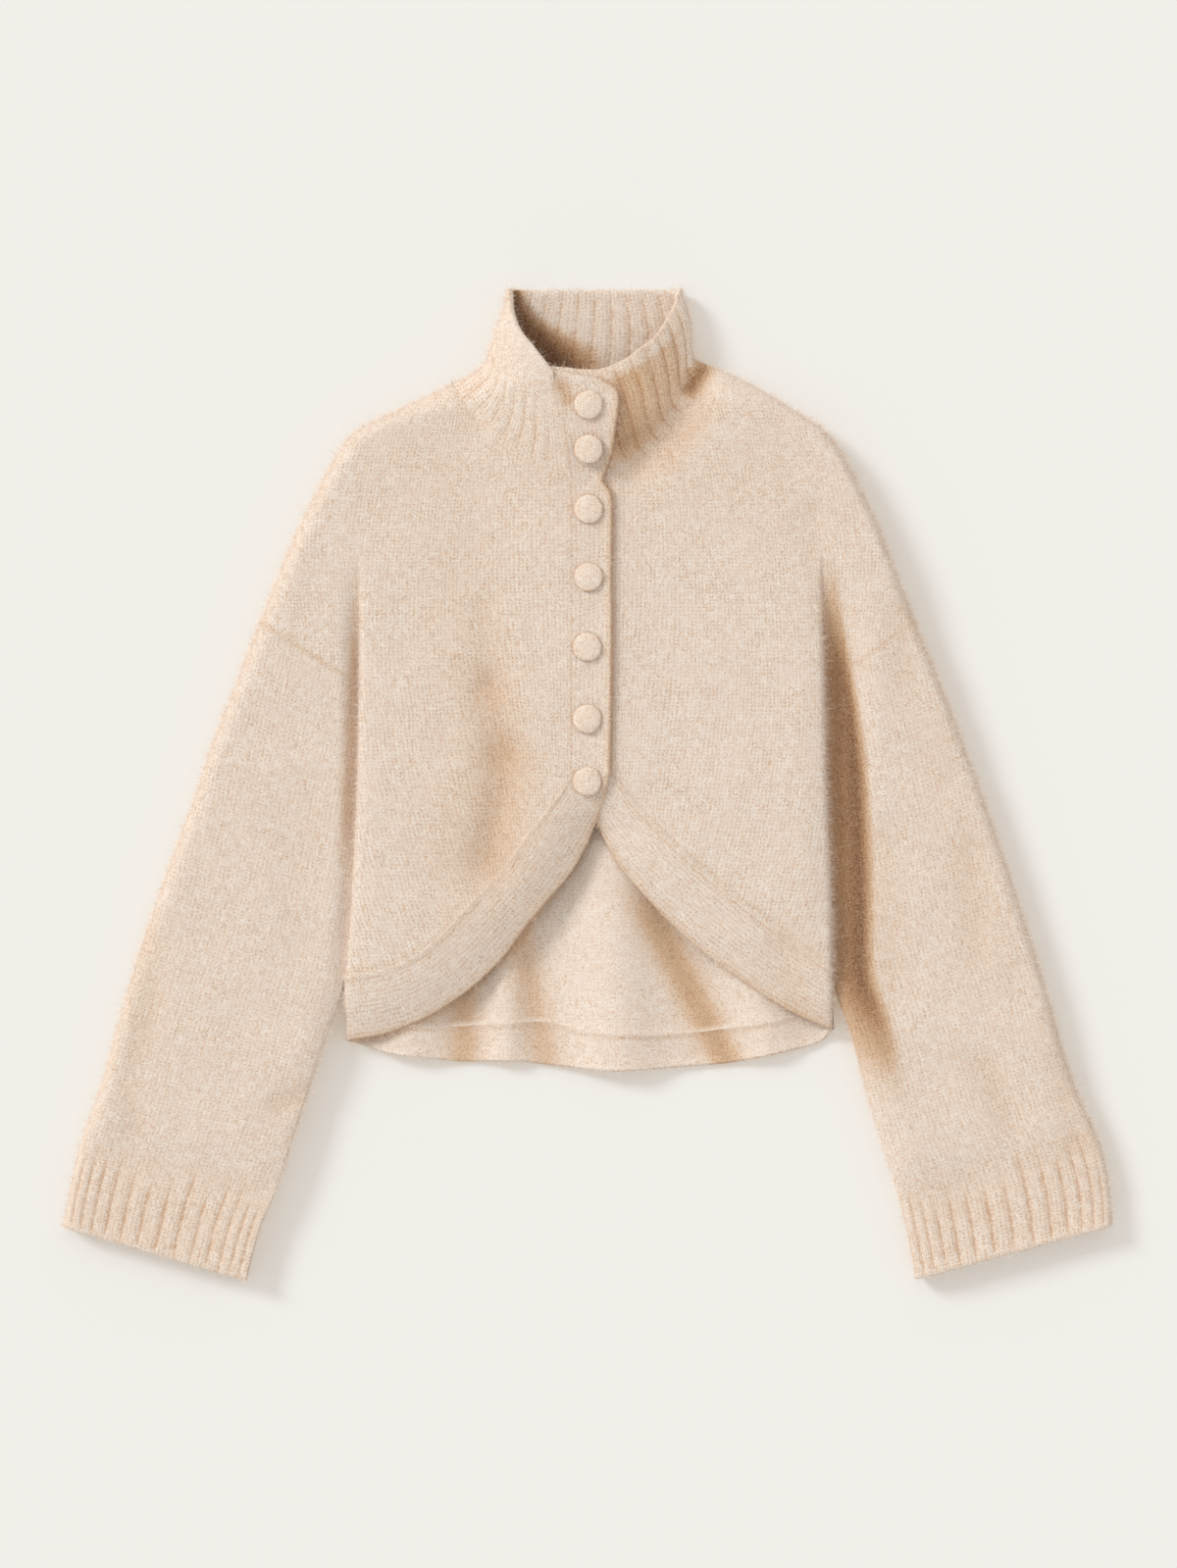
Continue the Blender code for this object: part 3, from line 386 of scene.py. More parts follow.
def mouthPaintedShade(x, y):  # painted shade inside the collar, under its left side
    size = mouthSizes
    reach = size["reach"] + size["more"] * (1 - blend(y, *size["moreTo"]))
    side = (1 - blend(gapTo(mouthLine[-1], x, y) / reach, 0.25, 0.75)) * size["side"]
    foot = 1 - blend(gapTo(mouthLine[1][:size["footPoints"]], x, y), *size["footTo"])
    foot = foot * (1 - blend(x, *size["footRight"])) * size["foot"]
    return np.clip(blend(y, *size["from"]) * np.maximum(side, foot), 0, size["most"])


def lower(points):  # outer face of the lower cloth, on the underside
    x, y = points.T
    outerGap, outerWay = outerField(points)
    valleyGap, valleyWay, *_ = valleyField(points)
    radius, level = cloth["underRadius"], cloth["fold"]
    rise, riseSlope = roll(outerGap / radius)
    dip, dipSlope = roll(valleyGap / radius)
    deep = blend(-y, -marks["underarm"] - marks["underCrease"], marks["underCrease"])
    share = 1 - deep * (1 - dip)
    slope = -(level * share * riseSlope / radius)[:, None] * outerWay
    slope -= (level * rise * deep * dipSlope / radius)[:, None] * valleyWay
    slope += slopeOf(waves, x, y) * (rise * share)[:, None]
    normal = unit(np.column_stack((slope, -np.ones(len(points)))))
    lift = creaseLift(points) * deep * rise * (1 - dip)
    height = level * (1 - rise * share) + waves(x, y) * rise * share + lift
    return np.column_stack((points, height)), normal, lowerPaintedShade(x, y)


# pieces of cloth: grids of places on the outer face, which become a wall with two faces and a rim

def ruled(starts, ends, shares):
    return starts[:, None] + (ends - starts)[:, None] * np.asarray(shares, float)[None, :, None]


def patch(across, top, bottom, first, last):  # plan rows between four edges
    way = wayAlong(first)
    v = (way / way[-1])[:, None, None]
    u = np.asarray(across, float)[None, :, None]
    grid = (1 - v) * top[None] + v * bottom[None] + (1 - u) * first[:, None] + u * last[:, None]
    grid = grid - ((1 - u) * (1 - v) * top[0] + u * (1 - v) * top[-1]
                   + (1 - u) * v * bottom[0] + u * v * bottom[-1])
    grid[:, 0], grid[:, -1] = first, last
    return grid


def lay(plan, surface, *args):
    places, normals, valley = surface(plan.reshape(-1, 2), *args)
    shape = plan.shape[:2]
    return {"place": places.reshape(*shape, 3), "normal": normals.reshape(*shape, 3), "valley": valley.reshape(shape)}


def joinColumns(*grids):  # several grids side by side
    return {key: np.concatenate([grid[key] for grid in grids], axis=1) for key in grids[0]}


def runAcross(places):
    steps = np.linalg.norm(np.diff(places, axis=1), axis=2)
    return np.concatenate((np.zeros((len(places), 1)), np.cumsum(steps, axis=1)), axis=1)


def runAlong(places):
    return runAcross(places.transpose(1, 0, 2)).T


def filled(grid, key, value=0.0):
    return grid.get(key, np.full(grid["place"].shape[:2], float(value)))


def addPaintedShade(grid, where, least):
    grid["valley"][where] = np.maximum(grid["valley"][where], least)


def knitSpots(grid, u, v):  # where each place is on the knitted cloth
    grid["knit"] = np.stack((u + np.zeros_like(v), v + np.zeros_like(u)), -1)
    return grid


# where the inner face shows: down or up the garment, and how far to the sides
insideShows = {"hem": ((-25, 15), (165, 12)), "mouth": ((285, 10), (72, 8))}


def seenInside(places):  # 1 where the inner face shows, in the collar's mouth and over the hem
    x, y = np.abs(places[:, 0]), places[:, 1]
    (down, aside), (up, across) = insideShows["hem"], insideShows["mouth"]
    return np.maximum(blend(-y, *down) * (1 - blend(x, *aside)), blend(y, *up) * (1 - blend(x, *across)))


def addLayer(mesh, name, values, kind="FLOAT", domain="POINT"):
    mesh.attributes.new(name, kind, domain).data.foreach_set("value", values)


def newObject(name, data):
    thing = bpy.data.objects.new(name, data)
    bpy.context.scene.collection.objects.link(thing)
    return thing


def rimOf(border, normals, outerPlaces):  # the points of a border, and the way out of the cloth at each
    points = sorted({point for edge, _ in border for point in edge})
    number = {point: n for n, point in enumerate(points)}
    outward = np.zeros((len(points), 3))
    for (start, end), _ in border:
        along = outerPlaces[end] - outerPlaces[start]
        for point in (start, end):
            outward[number[point]] += np.cross(along, normals[point])
    return points, number, unit(outward)


# how thickly the hair grows: on the underside, on top, along the outline and where the inside shows
growth = {"under": 0.08, "top": 0.64, "outline": 3.2, "inside": 0.7}


def makeWall(name, grids, materials, rimTurns=3, rimStep=0.8):
    parts = {key: [] for key in ("outer", "inner", "normal", "key", "knit")}
    data = {key: [] for key in ("valley", "bulge", "ribPhase", "ribMask")}
    quads, offset = [], 0
    for grid in grids:
        place, normal = grid["place"], grid["normal"]
        rows, columns = place.shape[:2]
        parts["outer"].append((place + normal * filled(grid, "out")[..., None]).reshape(-1, 3))
        parts["inner"].append((place - normal * (cloth["wall"] + filled(grid, "into"))[..., None]).reshape(-1, 3))
        parts["normal"].append(normal.reshape(-1, 3))
        parts["key"].append(np.round(place.reshape(-1, 3), 2))
        parts["knit"].append(grid["knit"].reshape(-1, 2))
        for key in data:
            data[key].append(filled(grid, key, cloth["seamBulge"] if key == "bulge" else 0).reshape(-1))
        number = np.arange(rows * columns).reshape(rows, columns)
        quad = np.stack((number[:-1, :-1], number[:-1, 1:], number[1:, 1:], number[1:, :-1]), -1).reshape(-1, 4)
        a, b, c, d = (place.reshape(-1, 3)[quad[:, n]] for n in range(4))
        facing = (np.cross(c - a, d - b) * normal[:-1, :-1].reshape(-1, 3)).sum()
        quads.append((quad if facing > 0 else quad[:, ::-1]) + offset)
        offset += rows * columns
    # places that two grids share become one
    _, first, merged = np.unique(np.vstack(parts["key"]), axis=0, return_index=True, return_inverse=True)
    merged, knit = merged.reshape(-1).tolist(), np.vstack(parts["knit"])
    outerPlaces, innerPlaces, normals = (np.vstack(parts[key])[first] for key in ("outer", "inner", "normal"))
    data = {key: np.concatenate(value)[first] for key, value in data.items()}
    count = len(first)

    faces, faceKnit, edges = [], [], {}
    for quad in np.vstack(quads):
        face = {}
        for corner in quad:
            face.setdefault(merged[corner], knit[corner])
        if len(face) > 2:
            points, spots = list(face), list(face.values())
            faces.append(points)
            faceKnit.append(spots)
            for n, point in enumerate(points):
                after = (n + 1) % len(points)
                edges[(point, points[after])] = (spots[n], spots[after])
    border = [(edge, spots) for edge, spots in edges.items() if edge[::-1] not in edges]

    # the rim turns over from the outer face to the inner one
    rim, rimNumber, outward = rimOf(border, normals, outerPlaces)
    middle, half = (outerPlaces[rim] + innerPlaces[rim]) / 2, (outerPlaces[rim] - innerPlaces[rim]) / 2
    places = [outerPlaces, innerPlaces]
    for turn in range(1, rimTurns + 1):
        angle = math.pi * turn / (rimTurns + 1)
        places.append(middle + half * math.cos(angle) + outward * (data["bulge"][rim] * math.sin(angle))[:, None])
    places = np.vstack(places)
    places[:, 2] = np.maximum(places[:, 2], 0)

    def rimVertex(point, turn):
        if turn == 0:
            return point
        return point + count if turn > rimTurns else 2 * count + (turn - 1) * len(rim) + rimNumber[point]

    allFaces = faces + [[n + count for n in reversed(face)] for face in faces]
    allKnit = faceKnit + [spots[::-1] for spots in faceKnit]
    slots = [0] * len(faces) + [1 if len(materials) > 1 else 0] * len(faces)
    for (start, end), (spotA, spotB) in border:
        for turn in range(rimTurns + 1):
            above, below = (np.array((0.0, rimStep * step)) for step in (turn, turn + 1))
            allFaces.append([rimVertex(end, turn), rimVertex(start, turn),
                             rimVertex(start, turn + 1), rimVertex(end, turn + 1)])
            allKnit.append([spotB - above, spotA - above, spotA - below, spotB - below])
            slots.append(0)

    mesh = bpy.data.meshes.new(name)
    mesh.from_pydata((places * mm).tolist(), [], allFaces)
    mesh.uv_layers.new(name="knitMap").data.foreach_set("uv", np.concatenate([np.ravel(spots) for spots in allKnit]))
    for material in materials:
        mesh.materials.append(material)
    mesh.polygons.foreach_set("material_index", slots)
    facing = np.clip((normals[:, 2] + 0.35) / 0.7, 0, 1)
    atOutline = facing * (1 - np.clip(normals[:, 2] / 0.55, 0, 1))
    hairy = growth["under"] + growth["top"] * facing + growth["outline"] * atOutline
    inside = seenInside(innerPlaces) * (normals[:, 2] < 0.5)
    valley, phase, mask = data["valley"], data["ribPhase"], data["ribMask"]
    # the inner face also carries the painted shade inside the collar's mouth
    for key, out, into, edge in (
            ("fuzz", hairy, inside * growth["inside"], np.maximum(hairy, inside)),
            ("valley", valley, np.maximum(valley, mouthPaintedShade(*innerPlaces[:, :2].T)), valley),
            ("ribPhase", phase, phase + 0.5, phase), ("ribMask", mask, mask, mask)):
        addLayer(mesh, key, np.concatenate([out, into] + [edge[rim]] * rimTurns))
    mesh.shade_smooth()
    # a seam's rim stays crisp, a free edge is round
    ends = np.empty(2 * len(mesh.edges), int)
    mesh.edges.foreach_get("vertices", ends)
    ends = np.sort(ends.reshape(-1, 2), axis=1)
    seam = np.zeros(len(places), bool)
    seam[rim] = seam[np.array(rim) + count] = data["bulge"][rim] < 0.5
    inBorder = {tuple(sorted(edge)) for edge, _ in border}
    inBorder |= {(a + count, b + count) for a, b in inBorder}
    crisp = seam[ends].all(1) & np.array([tuple(pair) in inBorder for pair in ends.tolist()])
    addLayer(mesh, "sharp_edge", crisp, "BOOLEAN", "EDGE")
    return newObject(name, mesh)


# plans of the pieces

def bodyHeights(side, endY):
    top, underarm = bodySidePoints[side][0][1], marks["underarm"]
    shares = spread(top - underarm, 20, 0)
    below = np.linspace(underarm, endY, round((underarm - endY) / cloth["step"]) + 1)[1:]
    return np.concatenate((top + (underarm - top) * shares, below)), shares


def armPlan(side, shares, across):  # from the outer edge to the fold between body and arm
    top = bodySidePoints[side][0][1]
    crease = atY(bodySide[side], top + (marks["underarm"] - top) * shares)
    edge = atShare(between(outer[side], top, marks["armholeOut"]), shares)
    edge[0] = crease[0]
    return ruled(edge, crease, across)


def frontPlan(side):  # the plan, its neck and its band seam
    topX, centreX = bodySidePoints[side][0][0], marks["placketSeam"][side]
    neckShare = (marks["neckPoint"][side] - topX) / (centreX - topX)
    width = abs(centreX - topX)
    toNeck = spread(neckShare * width, 16, 0) * neckShare
    toCentre = neckShare + (1 - neckShare) * spread((1 - neckShare) * width)
    shares = np.concatenate((toNeck, toCentre[1:]))
    neck = len(toNeck) - 1
    heights, _ = bodyHeights(side, bandSeam[side][-1][1])
    sideLine = atY(bodySide[side], heights)
    topLine = topX + (centreX - topX) * shares
    top = np.vstack((atX(outer[side], topLine[:neck + 1]), atX(through(neckSeam[side]), topLine[neck + 1:])))
    bottom = atX(through(bandSeam[side]), sideLine[-1, 0] + (centreX - sideLine[-1, 0]) * shares)
    centre = ruled(top[-1:], bottom[-1:], (heights[0] - heights) / (heights[0] - heights[-1]))[0]
    top[0], bottom[0] = sideLine[0], sideLine[-1]
    return patch(shares, top, bottom, sideLine, centre), top[neck:], bottom[::-1]


def backPlan():  # the plan, its neck and its hem seam
    leftX, rightX = (bodySidePoints[side][0][0] for side in sides)
    width = rightX - leftX
    left, right = (marks["neckPoint"][side] - leftX for side in sides)
    shares = np.concatenate((spread(left, 9, 0) * left, (left + spread(right - left, 8, 8) * (right - left))[1:],
                             (right + spread(width - right, 0, 9) * (width - right))[1:])) / width
    first, last = (int(np.abs(shares * width - neck).argmin()) for neck in (left, right))
    ends = {-1: hemSeam[0][1], 1: hemSeam[-1][1]}
    rows = max(len(bodyHeights(side, ends[side])[0]) for side in sides)
    lines = []
    for side in sides:
        heights, above = bodyHeights(side, ends[side])
        below = np.linspace(marks["underarm"], ends[side], rows - len(above) + 1)[1:]
        lines.append(atY(bodySide[side], np.concatenate((heights[:len(above)], below))))
    left, right = lines
    topLine = leftX + width * shares
    top = np.vstack((atX(outer[-1], topLine[:first + 1]), atX(through(backNeck), topLine[first + 1:last]),
                     atX(outer[1], topLine[last:])))
    bottom = atX(through(hemSeam), left[-1, 0] + (right[-1, 0] - left[-1, 0]) * shares)
    top[0], top[-1], bottom[0], bottom[-1] = left[0], right[0], left[-1], right[-1]
    return patch(shares, top, bottom, left, right), top[first:last + 1], bottom


def armLines(side, outerSpan, innerSpan, shares):
    return (atShare(between(armSide[side], *innerSpan), shares),
            atShare(between(outer[side], *outerSpan), shares))


fronts = {side: frontPlan(side) for side in sides}
rear = backPlan()


# finishes

def linear(code):  # sRGB hex to a linear colour
    values = [int(code[n:n + 2], 16) / 255 for n in (1, 3, 5)]
    return [v / 12.92 if v <= 0.04045 else ((v + 0.055) / 1.055) ** 2.4 for v in values] + [1]


def addNode(tree, kind, inputs=None, **settings):
    node = tree.nodes.new(kind)
    for key, value in settings.items():
        setattr(node, key, value)
    for key, value in (inputs or {}).items():
        if isinstance(value, bpy.types.NodeSocket):
            tree.links.new(value, node.inputs[key])
        else:
            node.inputs[key].default_value = value
    return node


def nodeMath(tree, operation, a, b=0.0, c=0.0):
    return addNode(tree, "ShaderNodeMath", {0: a, 1: b, 2: c}, operation=operation).outputs[0]


def vectorMath(tree, operation, *vectors, **more):
    return addNode(tree, "ShaderNodeVectorMath", {**dict(enumerate(vectors)), **more}, operation=operation).outputs[0]


def roundWave(tree, turns, size=0.5, middle=0.5):
    wave = nodeMath(tree, "COSINE", nodeMath(tree, "MULTIPLY", turns, 2 * math.pi))
    return nodeMath(tree, "MULTIPLY_ADD", wave, size, middle)


def attribute(tree, name):
    return addNode(tree, "ShaderNodeAttribute", attribute_name=name).outputs["Fac"]


def mixColours(tree, share, first, second, way="MIX"):
    return addNode(tree, "ShaderNodeMix", {0: share, 6: first, 7: second}, data_type="RGBA",
                   blend_type=way).outputs[2]


def addRamp(tree, amount, stops):
    node = addNode(tree, "ShaderNodeValToRGB", {"Fac": amount})
    ramp = node.color_ramp.elements
    for n, (at, colour) in enumerate(stops):
        stop = ramp[0] if n == 0 else ramp[-1] if n == len(stops) - 1 else ramp.new(at)
        stop.position, stop.color = at, colour
    return node.outputs[0]


def newMaterial(name):
    material = bpy.data.materials.new(name)
    material.use_nodes = True
    material.node_tree.nodes.clear()
    return material, material.node_tree


def endMaterial(tree, values):
    shader = addNode(tree, "ShaderNodeBsdfPrincipled", values)
    addNode(tree, "ShaderNodeOutputMaterial", {0: shader.outputs[0]})


knitLook = {"stitchWide": 3.4, "stitchHigh": 2.8, "relief": 0.7, "wander": (2.6, 3.0, 0), "streakSize": (0.42, 0.11, 0),
            "face": ("#faf1e8", "#efe0d0"), "reverse": ("#fdf3e9", "#f5e4d3"), "gap": "#d6b291", "groundAt": 0.42,
            "rosy": "#f2e0d1", "rosyShare": 0.35, "sheen": "#fbf1e6",
            "speck": (-4.4, 2.49), "tuft": (-0.5, 0.245), "streak": (-0.7, 0.35), "single": (1.1, 0.5),
            "ribGrooveShade": 0.75, "ribPower": 6.0, "ribBroken": (2.4, -0.45), "shadeBroken": (-0.9, 1.45),
            "bare": (0.6, 0.95), "hairHeight": 0.4, "darkHeight": 0.32,
            # scale, detail and roughness of each kind of unevenness
            "noise": {"wobble": (130.0, 2.0, 0.5), "patches": (55.0, 2.0, 0.5), "speck": (950.0, 3.0, 0.8),
                      "tuft": (210.0, 2.0, 0.5), "streak": (1.0, 2.0, 0.5), "broken": (260.0, 3.0, 0.7),
                      "rosy": (45.0, 4.0, 0.5), "hair": (1300.0, 2.0, 0.6)},
            "shade": [(0.0, (1, 1, 1)), (0.4, (0.82, 0.675, 0.52)), (1.0, (0.53, 0.35, 0.22)),
                      (1.7, (0.15, 0.075, 0.04))]}
hairLook = {"dark": "#ead6c4", "light": "#f8efe6", "shade": 0.5}


def withPaintedShade(tree, colour, amount):  # painted shade: deep places are painted darker and warmer, as light passes many hairs there
    last = knitLook["shade"][-1][0]
    stops = [(at / last, (*tint, 1)) for at, tint in knitLook["shade"]]
    return mixColours(tree, 1.0, colour, addRamp(tree, nodeMath(tree, "DIVIDE", amount, last), stops), "MULTIPLY")


def knitMaterial(name, reverse=False, relief=1.0, stitchScale=1.0, fuzzier=0.0):
    # brushed alpaca and wool yarn in plain knit: soft, matt, pale, with darker gaps between the stitches
    look = knitLook
    material, tree = newMaterial(name)
    calc = partial(nodeMath, tree)
    spot = addNode(tree, "ShaderNodeTexCoord").outputs["Object"]

    def noise(kind, what="Fac", where=spot):
        scale, detail, roughness = look["noise"][kind]
        return addNode(tree, "ShaderNodeTexNoise", {"Vector": where, "Scale": scale, "Detail": detail,
                                                    "Roughness": roughness}).outputs[what]

    def mapRange(value, low, high, toLow, toHigh):
        return addNode(tree, "ShaderNodeMapRange", {"Value": value, "From Min": low, "From Max": high,
                                                    "To Min": toLow, "To Max": toHigh}).outputs[0]

    # yarn wanders, so the stitches do
    uv = addNode(tree, "ShaderNodeUVMap", uv_map="knitMap").outputs[0]
    wobble = vectorMath(tree, "SUBTRACT", noise("wobble", "Color"), (0.5, 0.5, 0.5))
    uv = vectorMath(tree, "MULTIPLY_ADD", wobble, look["wander"], uv)
    parts = addNode(tree, "ShaderNodeSeparateXYZ", {0: uv})
    across = calc("DIVIDE", parts.outputs[0], look["stitchWide"] * stitchScale)
    along = calc("DIVIDE", parts.outputs[1], look["stitchHigh"] * stitchScale)
    # how far from the middle of a wale, 0 to 1
    aside = calc("ABSOLUTE", calc("MULTIPLY_ADD", calc("FRACT", across), 2.0, -1.0))
    if reverse:  # the back of plain knit: rows of small arcs
        course = calc("ADD", along, calc("MULTIPLY", aside, 0.35))
        furrow = calc("MULTIPLY", calc("POWER", roundWave(tree, course), 1.6), 0.16)
    else:  # legs of the stitches lean to one another, with a small hole beside each pair
        leg = roundWave(tree, calc("SUBTRACT", along, calc("MULTIPLY", aside, 0.5)))
        hole = calc("MULTIPLY", calc("POWER", aside, 3.0), calc("MULTIPLY", roundWave(tree, along, 0.45, 0.55), 0.95))
        furrow = calc("MAXIMUM", hole, calc("MULTIPLY", calc("POWER", leg, 3.0), 0.08))
    cell = addNode(tree, "ShaderNodeCombineXYZ", {0: calc("FLOOR", calc("ADD", across, 0.5)), 1: calc("FLOOR", along)})
    single = addNode(tree, "ShaderNodeTexWhiteNoise", {"Vector": cell.outputs[0]}, noise_dimensions="2D").outputs[0]

    # brushed areas hide the stitches, bare ones show them
    low, high = look["bare"]
    bare = mapRange(noise("patches"), 0.35, 0.65, low - 0.2 * fuzzier, high - 0.4 * fuzzier)
    dark = calc("MULTIPLY", calc("MULTIPLY", furrow, calc("MULTIPLY_ADD", single, *look["single"])), bare)
    speck = noise("speck")
    streak = noise("streak", where=vectorMath(tree, "MULTIPLY", uv, look["streakSize"]))
    for grain, key in ((speck, "speck"), (noise("tuft"), "tuft"), (streak, "streak")):
        dark = calc("ADD", dark, calc("MULTIPLY_ADD", grain, *look[key]))
    # painted shade in the tan grooves between the ribs, broken up by hair
    groove = calc("POWER", roundWave(tree, attribute(tree, "ribPhase")), look["ribPower"])
    groove = calc("MULTIPLY", groove, attribute(tree, "ribMask"))
    groove = calc("MULTIPLY", groove, calc("MULTIPLY_ADD", noise("broken"), *look["ribBroken"]))
    dark = calc("ADD", dark, calc("MULTIPLY", groove, look["ribGrooveShade"]))
    light, ground = look["reverse" if reverse else "face"]
    colour = addRamp(tree, dark, [(0.0, linear(light)), (look["groundAt"], linear(ground)), (1.0, linear(look["gap"]))])
    rosy = mapRange(noise("rosy"), 0.42, 0.68, 0.0, look["rosyShare"])
    colour = mixColours(tree, rosy, colour, linear(look["rosy"]))
    # painted shade from the shade attribute, broken up by specks
    broken = calc("MULTIPLY_ADD", speck, *look["shadeBroken"])
    colour = withPaintedShade(tree, colour, calc("MULTIPLY", attribute(tree, "valley"), broken))
    hair = calc("MULTIPLY", noise("hair"), look["hairHeight"])
    height = calc("SUBTRACT", hair, calc("MULTIPLY", dark, look["darkHeight"]))
    bump = addNode(tree, "ShaderNodeBump", {"Height": height, "Strength": relief, "Distance": look["relief"] * mm})
    endMaterial(tree, {"Base Color": colour, "Normal": bump.outputs[0], "Roughness": 0.95, "Specular IOR Level": 0.1,
                       "Sheen Weight": 0.08, "Sheen Roughness": 0.6, "Sheen Tint": linear(look["sheen"])})
    return material


def fibreMaterial(name):  # loose brushed hair: a little lighter than the yarn, and matt
    material, tree = newMaterial(name)
    colour = mixColours(tree, attribute(tree, "tone"), linear(hairLook["dark"]), linear(hairLook["light"]))
    # painted shade, half as strong as on the yarn
    valley = nodeMath(tree, "MULTIPLY", attribute(tree, "valley"), hairLook["shade"])
    endMaterial(tree, {"Base Color": withPaintedShade(tree, colour, valley), "Roughness": 0.75, "Specular IOR Level": 0.2,
                       "Sheen Weight": 0.1})
    return material


plainKnit = knitMaterial("plain knit, brushed alpaca and wool")
reverseKnit = knitMaterial("reverse of plain knit, brushed alpaca and wool", reverse=True)
fuzzyKnit = knitMaterial("heavily brushed plain knit", fuzzier=0.5)
ribKnit = knitMaterial("rib knit, brushed alpaca and wool", relief=0.9)
buttonKnit = knitMaterial("fine knit over a button form", stitchScale=0.62, relief=0.7)
looseHair = fibreMaterial("loose brushed alpaca hair")
print("finishes made")


# geometry node trees

def newTree(name, inputs):
    tree = bpy.data.node_groups.new(name, "GeometryNodeTree")
    tree.interface.new_socket("Geometry", in_out="INPUT", socket_type="NodeSocketGeometry")
    for label, kind in inputs.items():
        tree.interface.new_socket(label, in_out="INPUT", socket_type="NodeSocket" + kind)
    tree.interface.new_socket("Geometry", in_out="OUTPUT", socket_type="NodeSocketGeometry")
    return tree, addNode(tree, "NodeGroupInput").outputs


def namedValue(tree, name):
    return addNode(tree, "GeometryNodeInputNamedAttribute", {"Name": name}, data_type="FLOAT").outputs[0]


def endTree(tree, geometry, material=None):
    geometry = addNode(tree, "GeometryNodeRealizeInstances", {0: geometry}).outputs[0]
    if material is not None:
        geometry = addNode(tree, "GeometryNodeSetMaterial", {0: geometry, "Material": material}).outputs[0]
    addNode(tree, "NodeGroupOutput", {0: geometry})
    return tree


def applyTree(thing, tree, values, name=None):  # runs a tree on an object and keeps the plain mesh
    modifier = thing.modifiers.new(tree.name, "NODES")
    modifier.node_group = tree
    for item in tree.interface.items_tree:
        if item.in_out == "INPUT" and item.name in values:
            modifier[item.identifier] = values[item.name]
    depsgraph = bpy.context.evaluated_depsgraph_get()
    mesh = bpy.data.meshes.new_from_object(thing.evaluated_get(depsgraph), preserve_all_data_layers=True,
                                           depsgraph=depsgraph)
    thing.modifiers.remove(modifier)
    mesh.name = name or thing.name
    if name:
        return newObject(name, mesh)
    old, thing.data = thing.data, mesh
    bpy.data.meshes.remove(old)
    return thing


def makeRibTree():  # presses the grooves between the ribs into both faces of a piece
    tree, given = newTree("ribKnitRelief", {"Depth": "Float", "Narrowness": "Float", "Swell": "Float"})
    calc = partial(nodeMath, tree)
    groove = calc("POWER", roundWave(tree, namedValue(tree, "ribPhase")), given["Narrowness"])
    amount = calc("SUBTRACT", given["Swell"], calc("MULTIPLY", groove, given["Depth"]))
    amount = calc("MULTIPLY", amount, namedValue(tree, "ribMask"))
    offset = vectorMath(tree, "SCALE", addNode(tree, "GeometryNodeInputNormal").outputs[0], Scale=amount)
    place = addNode(tree, "GeometryNodeSetPosition", {0: given["Geometry"], "Offset": offset})
    return endTree(tree, place.outputs[0])


# the form of a hair, and the least and greatest height of its tip in metres
hairForm = {"shortest": 0.25, "lengthPower": 1.6, "tilt": (0.6, 1.12), "bendScale": 260.0, "taper": 0.75, "bow": 0.3,
            "lowest": 0.0002, "highest": 0.056}


def makeFibreTree():  # scatters leaning hairs over the outer face and bends each in its own way
    tree, given = newTree("brushedHair", {"Density": "Float", "Length": "Float", "Width": "Float", "Lean": "Float",
                                          "Curl": "Float", "Seed": "Int", "Hair": "Object", "Material": "Material"})
    calc, put = partial(nodeMath, tree), partial(addNode, tree)
    density = calc("MULTIPLY", namedValue(tree, "fuzz"), given["Density"])
    points = put("GeometryNodeDistributePointsOnFaces",
                 {"Mesh": given["Geometry"], "Density": density, "Seed": given["Seed"]}).outputs

    def chance(low, high, shift):
        seed = put("ShaderNodeMath", {0: given["Seed"], 1: float(shift)}, operation="ADD").outputs[0]
        return put("FunctionNodeRandomValue", {2: low, 3: high, "Seed": seed}, data_type="FLOAT").outputs[1]

    size = calc("POWER", chance(hairForm["shortest"], 1.0, 1), hairForm["lengthPower"])
    size = calc("MULTIPLY", given["Length"], size)
    scale = put("ShaderNodeCombineXYZ", {0: given["Width"], 1: size, 2: size}).outputs[0]
    tilt = calc("MULTIPLY", given["Lean"], chance(*hairForm["tilt"], 2))
    turn = put("ShaderNodeCombineXYZ", {0: tilt, 2: chance(0, 2 * math.pi, 3)}).outputs[0]
    turn = put("FunctionNodeEulerToRotation", {0: turn}).outputs[0]
    spin = put("FunctionNodeRotateRotation", {0: points["Rotation"], 1: turn}, rotation_space="LOCAL").outputs[0]
    hair = put("GeometryNodeObjectInfo", {"Object": given["Hair"]}).outputs["Geometry"]
    hairs = put("GeometryNodeInstanceOnPoints",
                {"Points": points["Points"], "Instance": hair, "Rotation": spin, "Scale": scale}).outputs[0]
    hairs = put("GeometryNodeStoreNamedAttribute", {0: hairs, "Name": "tone", "Value": chance(0.0, 1.0, 4)},
                data_type="FLOAT", domain="INSTANCE").outputs[0]
    hairs = put("GeometryNodeRealizeInstances", {0: hairs}).outputs[0]
    place = put("GeometryNodeInputPosition").outputs[0]
    bend = put("ShaderNodeTexNoise", {"Vector": place, "Scale": hairForm["bendScale"], "Detail": 1.0}).outputs["Color"]
    bend = vectorMath(tree, "SUBTRACT", bend, (0.5, 0.5, 0.5))
    bend = vectorMath(tree, "SCALE", bend, Scale=calc("MULTIPLY", namedValue(tree, "along"), given["Curl"]))
    parts = put("ShaderNodeSeparateXYZ", {0: vectorMath(tree, "ADD", place, bend)}).outputs
    height = calc("MINIMUM", calc("MAXIMUM", parts[2], hairForm["lowest"]), hairForm["highest"])
    moved = put("ShaderNodeCombineXYZ", {0: parts[0], 1: parts[1], 2: height}).outputs[0]
    hairs = put("GeometryNodeSetPosition", {0: hairs, "Position": moved}).outputs[0]
    return endTree(tree, hairs, given["Material"])


